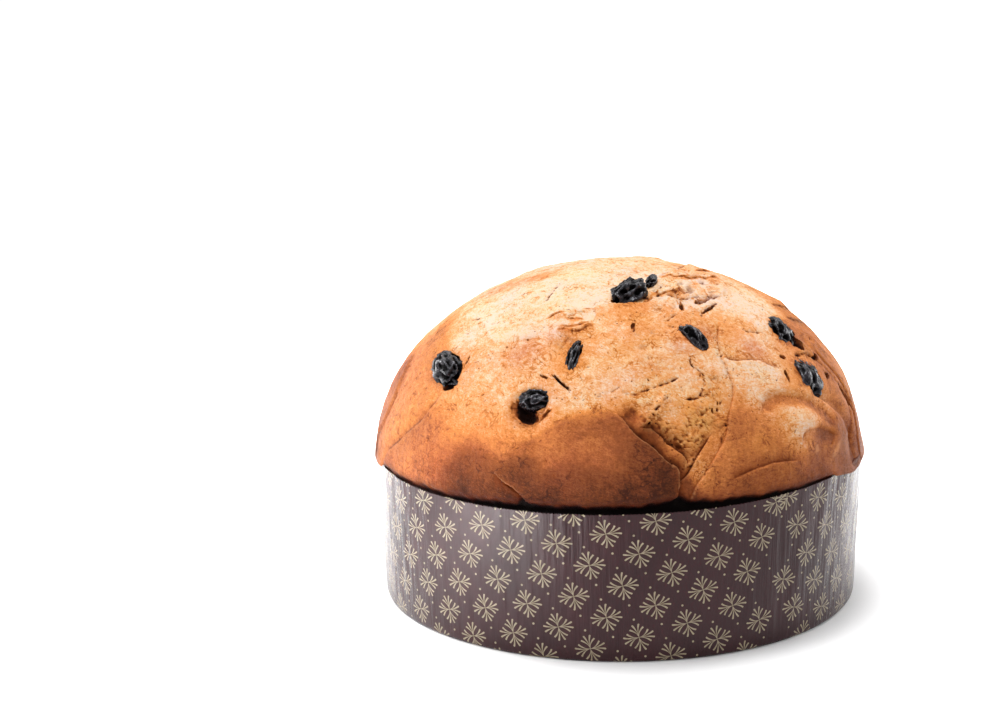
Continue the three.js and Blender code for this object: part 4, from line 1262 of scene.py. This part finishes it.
def crustFinish():
    g = Graph("bakedCrust")
    place = g.place()
    layered = g.node("Mapping", {"Vector": place, "Scale": (1, 1, 4)}).outputs[0]
    patches = g.cloud(place, 75, 4)
    mottle = g.cloud(place, 330, 4, 0.6)
    streaks = g.cloud(layered, 240, 3)
    grain = g.cloud(place, 1500, 3, 0.65, 1.0)
    hue = g.cloud(place, 55, 3)
    bake, torn, dark, lip, reliefShading = (g.painted(name) for name in ("bake", "torn", "dark", "lip", "reliefShading"))
    gap, blush = g.painted("gap"), g.painted("blush")

    # pores: small pits in the skin, in patches
    cells = g.node("TexVoronoi", {"Vector": place, "Scale": 520.0, "Randomness": 1.0}).outputs["Distance"]
    pores = g.rescale(cells, 0.24, 0.1)
    pores = g.times(pores, g.rescale(g.noise(place, 160, 2), 0.47, 0.6))

    # long fibres of dough that run slanting down the side
    slanting = g.node("Mapping", {"Vector": place, "Rotation": (0, 0.55, 0), "Scale": (4, 2.4, 0.8)})
    strokes = g.cloud(slanting.outputs[0], 210, 3, 0.6)
    # and fine creases that run round it
    level = g.node("Mapping", {"Vector": place, "Rotation": (0.1, 0.3, 0), "Scale": (1.8, 1.8, 0.55)},
                    vector_type="TEXTURE")
    swirls = g.cloud(level.outputs[0], 800, 3, 0.6, 1.6)
    # the thin layers of skin end in crooked edges: a sawtooth has one sharp side
    skin = g.noise(place, 62, 3, 0.6)
    layers = g.calc("FRACT", g.times(skin, 9.0))
    flaky = g.rescale(g.noise(place, 48, 2), 0.5, 0.62)
    edges = g.times(g.rescale(layers, 0.22, 0.0), flaky)

    # short crooked lines, and specks, where the skin is finely cracked
    bent = g.noise(place, 150, 3, 0.55, 1.2)
    veins = g.rescale(g.calc("ABSOLUTE", g.minus(bent, 0.5)), 0.04, 0.01)
    veins = g.times(veins, g.rescale(g.noise(place, 110, 2), 0.5, 0.6))
    steep = g.rescale(bake, 0.75, 0.5)
    veins = g.times(veins, steep)

    # the darker the skin, the evener
    unevenness = g.weighted(0.0, (patches, 0.07), (mottle, 0.06), (streaks, 0.05), (strokes, 0.06),
                          (swirls, 0.13), (grain, 0.12))
    unevenness = g.times(unevenness, g.rescale(bake, 0.4, 0.8, 1.0, 0.4))
    # reliefShading: raised relief is painted lighter, a painted highlight, and sunken relief darker further
    # down, painted shade
    level = g.weighted(bake, (unevenness, 1.0), (reliefShading, -0.05), (edges, 0.14), (veins, 0.25))
    crust = g.ramp(level, crustColours)
    crumbLevel = g.weighted(0.64, (mottle, 0.3), (grain, 0.2), (reliefShading, 0.35))
    crumb = g.ramp(crumbLevel, [(0.0, "56290f"), (0.3, "935426"), (0.6, "b97c42"), (1.0, "cda068")])
    crust = g.blend(g.times(torn, 0.6), crust, crumb)
    # some of the skin is pinker and some yellower
    rosy = g.blend(1.0, crust, colour("fff0ee"), "MULTIPLY")
    golden = g.blend(1.0, crust, colour("fff7dc"), "MULTIPLY")
    crust = g.blend(g.rescale(g.weighted(hue, (swirls, 0.5)), -1.2, 1.2), rosy, golden)
    mauve = g.blend(1.0, crust, colour("e2cbd2"), "MULTIPLY")
    blush = g.times(blush, g.rescale(g.weighted(mottle, (swirls, 0.5)), -1, 1, 0.4, 1.2))
    crust = g.blend(g.calc("MINIMUM", blush, 1.0), crust, mauve)
    # lip: a painted highlight along fold edges, and the pale skin of the scabs
    crust = g.blend(g.times(lip, 0.5), crust, colour("cf8b58"))
    # darkness: the painted shade of the dark attribute, with the skin's own dark pores and fine cracks
    darkness = g.weighted(dark, (mottle, 0.1), (pores, 0.5), (veins, 0.16))
    darkness = g.weighted(darkness, (g.rescale(reliefShading, 0, -1), 0.35))
    crust = g.blend(g.rescale(darkness, 0.1, 0.5, 0, 0.85), crust, colour("7d3a12"))
    crust = g.blend(g.rescale(darkness, 0.3, 0.95), crust, colour("1c0a05"))
    # the band over the rim: painted dark red-brown to near-black, the crust's burnt edge and painted shade in
    # the gap under it
    ragged = g.weighted(gap, (g.cloud(place, 160, 3, 0.6), 0.5), (mottle, 0.5), (grain, 0.3))
    crust = g.blend(g.rescale(ragged, 3.2, 0.2, 0, 0.75), crust, colour("4a1a0a"))
    crust = g.blend(g.rescale(ragged, 0.6, -0.3, 0, 0.7), crust, colour("2c0d06"))
    crust = g.blend(g.rescale(ragged, 0.0, -1.3), crust, colour("0b0403"))
    g.feed("Base Color", crust)

    rough = g.rescale(mottle, -1, 1, 0.48, 0.66)
    g.feed("Roughness", rough)
    g.surface.inputs["Specular IOR Level"].default_value = 0.09
    height = g.weighted(0.0, (mottle, 0.5), (grain, 0.5), (swirls, 0.7), (strokes, 0.4), (pores, -1.6),
                      (g.times(layers, flaky), 1.1), (veins, -1.4))
    crumbs = g.noise(place, 700, 4, 0.7)
    height = g.calc("MULTIPLY_ADD", g.times(crumbs, torn), 3.0, height)
    bump = g.node("Bump", {"Strength": 0.55, "Distance": 0.0003, "Height": height})
    g.feed("Normal", bump.outputs[0])
    return g.material


def raisinFinish():
    g = Graph("raisinSkin")
    place = g.place()
    fine = g.noise(place, 1100, 3)
    # crevices painted near-black and nearly unreflecting, painted shade in the wrinkles; crests show the
    # skin's greyer bloom
    crest = g.weighted(g.painted("crest"), (g.cloud(place, 700, 3), 0.2))
    skin = g.ramp(crest, [(0.2, "020101"), (0.6, "070405"), (0.85, "130b0f"), (1.0, "211a20")])
    g.feed("Base Color", skin)
    g.feed("Roughness", g.rescale(crest, 0.4, 0.9, 0.45, 0.2))
    g.feed("Specular IOR Level", g.rescale(crest, 0.4, 0.95, 0.01, 0.55))
    g.surface.inputs["Specular Tint"].default_value = (0.9, 0.92, 1.0, 1)
    bump = g.node("Bump", {"Strength": 0.6, "Distance": 0.0005, "Height": fine})
    g.feed("Normal", bump.outputs[0])
    return g.material


crustMaterial = crustFinish()
raisinMaterial = raisinFinish()
loaf.data.materials.clear()
loaf.data.materials.append(crustMaterial)
makeActive(loaf)
bpy.ops.object.shade_smooth_by_angle(angle=math.radians(50))
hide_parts("loaf")
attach(loaf, "root")
for number, spot in enumerate(raisins):
    buildRaisin(number, spot)
print("raisins modelled:", len(raisins))


# The paper case: a cup of stiff printed paper with a pinked rim and upright wrinkles

caseLook = {
    "teeth": 410,            # round the rim
    "toothDepth": 0.35,
    "rows": 22,
    "corner": 1.6,
    "paper": 0.45,
    "seam": 38.8,            # azimuth where the paper laps over itself
    "backSeam": 219.0,
    "seamStep": 0.35,
    "wrinkle": 0.32,         # height of the upright wrinkles
    "wrinkleLean": 0.22,     # how much they lean on the right, in millimetres per millimetre
    "wrinkleWidth": 5.0,
    "baseRings": (0.85, 0.7, 0.5),   # of the flat base, each as a share of the one before
}


def buildCase():
    s = caseLook
    c = caseSizes
    deselectAll()
    inset = c["baseRadius"] - s["corner"]
    bpy.ops.mesh.primitive_circle_add(vertices=2 * s["teeth"], radius=inset * mm, fill_type="NOTHING")
    case = newPiece("case_paper")
    mesh = case.data
    setMode("EDIT")
    bpy.ops.mesh.select_all(action="SELECT")
    rings = [(inset, 0.0)]
    for angle in (30, 60, 90):
        a = math.radians(angle)
        rings.append((inset + s["corner"] * math.sin(a), s["corner"] * (1 - math.cos(a))))
    for i in range(1, s["rows"] + 1):
        z = s["corner"] + (c["height"] - s["corner"]) * i / s["rows"]
        rings.append((c["baseRadius"] + (c["rimRadius"] - c["baseRadius"]) * z / c["height"], z))
    for (radius, z), (nextRadius, nextZ) in zip(rings, rings[1:]):
        bpy.ops.mesh.extrude_edges_move()
        bpy.ops.transform.translate(value=(0, 0, (nextZ - z) * mm))
        size = nextRadius / radius
        bpy.ops.transform.resize(value=(size, size, 1), center_override=(0, 0, 0))
    setMode("OBJECT")
    points = readPoints(mesh)
    ringStart = np.hypot(points[:, 0], points[:, 1]) < (inset + 0.01) * mm
    selectVertices(mesh, ringStart)
    setMode("EDIT")
    bpy.ops.mesh.select_mode(type="EDGE")
    for size in s["baseRings"]:
        bpy.ops.mesh.extrude_edges_move()
        bpy.ops.transform.resize(value=(size, size, 1), center_override=(0, 0, 0))
    bpy.ops.mesh.extrude_edges_move()
    bpy.ops.mesh.merge(type="CENTER")
    bpy.ops.mesh.select_all(action="SELECT")
    bpy.ops.mesh.normals_make_consistent(inside=False)
    setMode("OBJECT")
    shapeCase(mesh)
    printMap(mesh)
    applyModifier(case, "SOLIDIFY", thickness=s["paper"] * mm, offset=-1)
    makeActive(case)
    bpy.ops.object.shade_smooth_by_angle(angle=math.radians(40))
    case.data.materials.append(caseFinish())
    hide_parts("paper_case")
    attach(case, "root")


def shapeCase(mesh):
    s = caseLook
    points = readPoints(mesh) / mm
    radius = np.hypot(points[:, 0], points[:, 1])
    azimuth = azimuthOf(points)
    z = points[:, 2]
    share = z / caseSizes["height"]
    tooth = np.round(azimuth / (math.pi / s["teeth"])).astype(int) % 2
    onRim = z > caseSizes["height"] - 0.01
    points[:, 2] = z * rimHeight(azimuth) / caseSizes["height"] - np.where(onRim, tooth * s["toothDepth"], 0)
    wave = np.zeros(len(points))
    rightPart = smoothstep(np.degrees(azimuth), s["seam"] - 5, s["seam"] + 5)
    leaning = s["wrinkleLean"] * z / 100 * rightPart
    for width, tall, seed in [(s["wrinkleWidth"], 1.0, 3), (0.4 * s["wrinkleWidth"], 0.4, 8)]:
        around = 100 / width
        for i in range(len(points)):
            turn = azimuth[i] - leaning[i]
            spot = Vector((math.sin(turn) * around, math.cos(turn) * around, share[i] * 1.6 + seed))
            wave[i] += tall * noise.noise(spot)
    wall = smoothstep(radius, caseSizes["baseRadius"] - 0.6, caseSizes["baseRadius"])
    push = s["wrinkle"] * wave * wall * smoothstep(share, 0, 0.2)
    for seam in (s["seam"], s["backSeam"]):
        past = (np.degrees(azimuth) - seam + 180) % 360 - 180
        push -= np.where(past > 0, s["seamStep"] * np.exp(-past / 2.5), 0) * wall * smoothstep(share, 0, 0.1)
    scale = 1 + push / np.maximum(radius, 1)
    points[:, 0] *= scale
    points[:, 1] *= scale
    writePoints(mesh, points * mm)


# The print: small florets on a slanting lattice, in millimetres on the paper. Right of the
# seam the paper's other end shows, with the lattice mirrored. Only whole florets are printed.

printLayout = {
    "origin": (-12.11, 41.96),
    "mirrorOrigin": (80.6, 50.0),
    "stepAcross": (13.35, -8.63),
    "stepDown": (-6.61, -13.73),
    "paperRadius": 103.25,
    "lastLeft": (66.0, 0.05),     # how far round the left florets go, and how that leans with height
    "firstRight": 70.0,
    "floretHalf": (6.45, 5.95),
    "floretTurn": 15.0,
    "strokes": [(0.93, 0.20, 0.0), (0.66, 0.40, 0.10)],   # tip out, tip aside, and where it starts
    "strokeWidths": (0.017, 0.062),
    "dots": [(0.38, 0.364), (0.66, 0.642)],
    "dotRadius": 0.46,
}


def printMap(mesh):
    layer = mesh.uv_layers.get("printMap") or mesh.uv_layers.new(name="printMap")
    mesh.uv_layers.active = layer
    points = readPoints(mesh) / mm
    azimuth = np.degrees(azimuthOf(points))
    back = caseLook["backSeam"]
    uv = np.zeros((len(mesh.loops), 2))
    for face in mesh.polygons:
        corners = np.array(face.vertices)
        turn = azimuth[corners]
        middle = turn[0] + ((turn - turn[0] + 180) % 360 - 180).mean()
        middle = back - 360 + (middle - back) % 360
        turn = middle + ((turn - middle + 180) % 360 - 180)
        start = face.loop_start
        uv[start:start + len(corners), 0] = np.radians(turn) * printLayout["paperRadius"]
        uv[start:start + len(corners), 1] = points[corners, 2]
    layer.data.foreach_set("uv", uv.ravel())


def lengthOf(g, x, y):
    squares = g.calc("MULTIPLY_ADD", x, x, g.times(y, y))
    return g.calc("SQRT", squares)


def latticeInk(g, x, y, keepFloret, keepDot):
    # the print at x and y millimetres from the lattice's origin: 1 in ink, 0 on bare paper
    p = printLayout
    (ax, ay), (bx, by) = p["stepAcross"], p["stepDown"]
    det = ax * by - ay * bx
    i = g.weighted(g.times(x, by / det), (y, -bx / det))
    j = g.weighted(g.times(x, -ay / det), (y, ax / det))

    def offsetFrom(di, dj):
        # millimetres from the nearest copy of a lattice place
        fi = g.minus(i, di)
        fj = g.minus(j, dj)
        fi = g.minus(fi, g.calc("ROUND", fi))
        fj = g.minus(fj, g.calc("ROUND", fj))
        return (g.weighted(g.times(fi, ax), (fj, bx)),
                g.weighted(g.times(fi, ay), (fj, by)))

    ink = 0.0
    for di, dj in p["dots"]:
        distance = lengthOf(g, *offsetFrom(di, dj))
        ink = g.larger(ink, g.rescale(distance, p["dotRadius"] + 0.08, p["dotRadius"] - 0.08))
    ink = g.times(ink, keepDot)

    # one of a floret's four sprays, folded along its middle
    dx, dy = offsetFrom(0, 0)
    keep = keepFloret(g.minus(x, dx), g.minus(y, dy))
    dx = g.calc("DIVIDE", dx, p["floretHalf"][0])
    dy = g.calc("DIVIDE", dy, p["floretHalf"][1])
    turn = math.radians(p["floretTurn"])
    turnedX = g.weighted(g.times(dx, math.cos(turn)), (dy, math.sin(turn)))
    turnedY = g.weighted(g.times(dy, math.cos(turn)), (dx, -math.sin(turn)))
    sizeX = g.calc("ABSOLUTE", turnedX)
    sizeY = g.calc("ABSOLUTE", turnedY)
    out = g.larger(sizeX, sizeY)
    aside = g.calc("MINIMUM", sizeX, sizeY)
    squared = g.times(out, out)
    thin, thick = p["strokeWidths"]
    floret = 0.0
    for tipOut, tipAside, start in p["strokes"]:
        bend = tipAside / tipOut ** 2
        off = g.calc("ABSOLUTE", g.weighted(aside, (squared, -bend)))
        off = g.times(off, g.rescale(out, 0, tipOut, 1.0, 1 / math.hypot(1, 2 * bend * tipOut)))
        width = g.rescale(out, 0.45 * tipOut, tipOut, thin, thick)
        stroke = g.rescale(g.minus(off, width), 0.012, -0.012)
        stroke = g.times(stroke, g.rescale(out, tipOut + 0.01, tipOut - 0.01))
        stroke = g.times(stroke, g.rescale(out, start, start + 0.02))
        tip = lengthOf(g, g.minus(out, tipOut), g.minus(aside, tipAside))
        floret = g.larger(floret, stroke)
        floret = g.larger(floret, g.rescale(tip, thick + 0.012, thick - 0.012))
    return g.larger(ink, g.times(floret, keep))


def casePrint(g):
    p = printLayout
    uv = g.node("SeparateXYZ", {0: g.node("UVMap", uv_map="printMap").outputs[0]})
    arc, height = uv.outputs[0], uv.outputs[1]
    x = g.minus(arc, p["origin"][0])
    y = g.minus(height, p["origin"][1])
    reach, lean = p["lastLeft"]
    limit = reach - p["origin"][0] + lean * p["origin"][1]

    def keepLeft(cx, cy):
        return g.calc("GREATER_THAN", g.weighted(limit, (cy, lean), (cx, -1.0)), 0.0)

    left = latticeInk(g, x, y, keepLeft, g.calc("LESS_THAN", arc, p["firstRight"]))
    x = g.minus(p["mirrorOrigin"][0], arc)
    y = g.minus(height, p["mirrorOrigin"][1])

    def keepRight(cx, cy):
        return g.calc("LESS_THAN", cx, p["mirrorOrigin"][0] - p["firstRight"])

    right = latticeInk(g, x, y, keepRight, g.calc("GREATER_THAN", arc, p["firstRight"]))
    return g.larger(left, right)


def caseFinish():
    g = Graph("printedPaper")
    place = g.place()
    ink = casePrint(g)
    fibre = g.noise(place, 700, 3)
    cloud = g.noise(place, 40, 2)
    paper = g.ramp(cloud, [(0.3, "2a0e12"), (0.7, "341519")])
    gold = g.ramp(fibre, [(0.3, "877a62"), (0.7, "9f9179")])
    g.feed("Base Color", g.blend(ink, paper, gold))
    g.feed("Roughness", g.rescale(fibre, 0.3, 0.7, 0.34, 0.46))
    g.surface.inputs["Specular IOR Level"].default_value = 0.03
    g.surface.inputs["Coat Weight"].default_value = 1.0
    g.surface.inputs["Coat IOR"].default_value = 1.32
    g.surface.inputs["Coat Roughness"].default_value = 0.26
    # creases that run up the wall
    across = g.node("Mapping", {"Vector": g.node("UVMap", uv_map="printMap").outputs[0],
                                       "Scale": (0.55, 0.03, 1)}).outputs[0]
    creases = g.noise(across, 1.0, 3, 0.6)
    height = g.calc("MULTIPLY_ADD", fibre, 0.15, creases)
    bump = g.node("Bump", {"Strength": 0.8, "Distance": 0.0006, "Height": height})
    g.feed("Normal", bump.outputs[0])
    g.feed("Coat Normal", bump.outputs[0])
    return g.material


buildCase()
print("case modelled")


floorLook = {"width": 12, "colour": (0.84, 0.84, 0.845, 1), "roughness": 0.8}


def buildFloor():
    deselectAll()
    bpy.ops.mesh.primitive_plane_add(size=floorLook["width"])
    floor = newPiece("floor")
    g = Graph("paleFloor")
    g.surface.inputs["Base Color"].default_value = floorLook["colour"]
    g.surface.inputs["Roughness"].default_value = floorLook["roughness"]
    floor.data.materials.append(g.material)


buildFloor()


studioLights = [
    # name, place, aim, size in metres, power in watts and spread in degrees
    ("softboxTop", (-0.15, 0.0, 1.5), (0, 0, 0.08), 0.6, 24, 180),
    ("panelFront", (0.45, -1.5, 1.2), (0, 0, 0.08), 0.9, 9, 180),
    ("panelLeft", (-1.35, -0.35, 0.55), (0, 0, 0.07), 1.0, 5.5, 180),
    ("stripLeft", (-0.85, 0.55, 0.26), (-0.05, 0, 0.04), 0.5, 7, 180),
    ("stripRight", (1.0, 0.75, 0.35), (0, 0, 0.05), 0.6, 7, 180),
    ("backWash", (0.1, 2.3, 1.3), (0.1, 2.4, 0), 2.0, 28, 180),
    # these light the floor that the case mirrors
    ("glowLeft", (-0.32, -0.28, 0.3), (-0.24, -0.21, 0), 0.12, 2.3, 50),
    ("glowBackLeft", (-0.5, 0.5, 0.34), (-0.27, 0.31, 0), 0.15, 2.3, 56),
    ("glowBackRight", (0.45, 0.6, 0.34), (0.25, 0.42, 0), 0.15, 3.2, 60),
]
worldStrength = 0.36


def buildLights():
    world = bpy.data.worlds.new("studio")
    world.use_nodes = True
    background = world.node_tree.nodes["Background"]
    background.inputs["Color"].default_value = (1, 1, 1, 1)
    background.inputs["Strength"].default_value = worldStrength
    bpy.context.scene.world = world
    for name, place, aim, size, power, spread in studioLights:
        bpy.ops.object.light_add(type="AREA", location=place)
        light = bpy.context.object
        light.name = name
        light.data.size = size
        light.data.energy = power
        light.data.spread = math.radians(spread)
        light.rotation_euler = (Vector(aim) - Vector(place)).to_track_quat("-Z", "Y").to_euler()
    bpy.context.scene.view_settings.view_transform = "Standard"


buildLights()
print("lights placed")
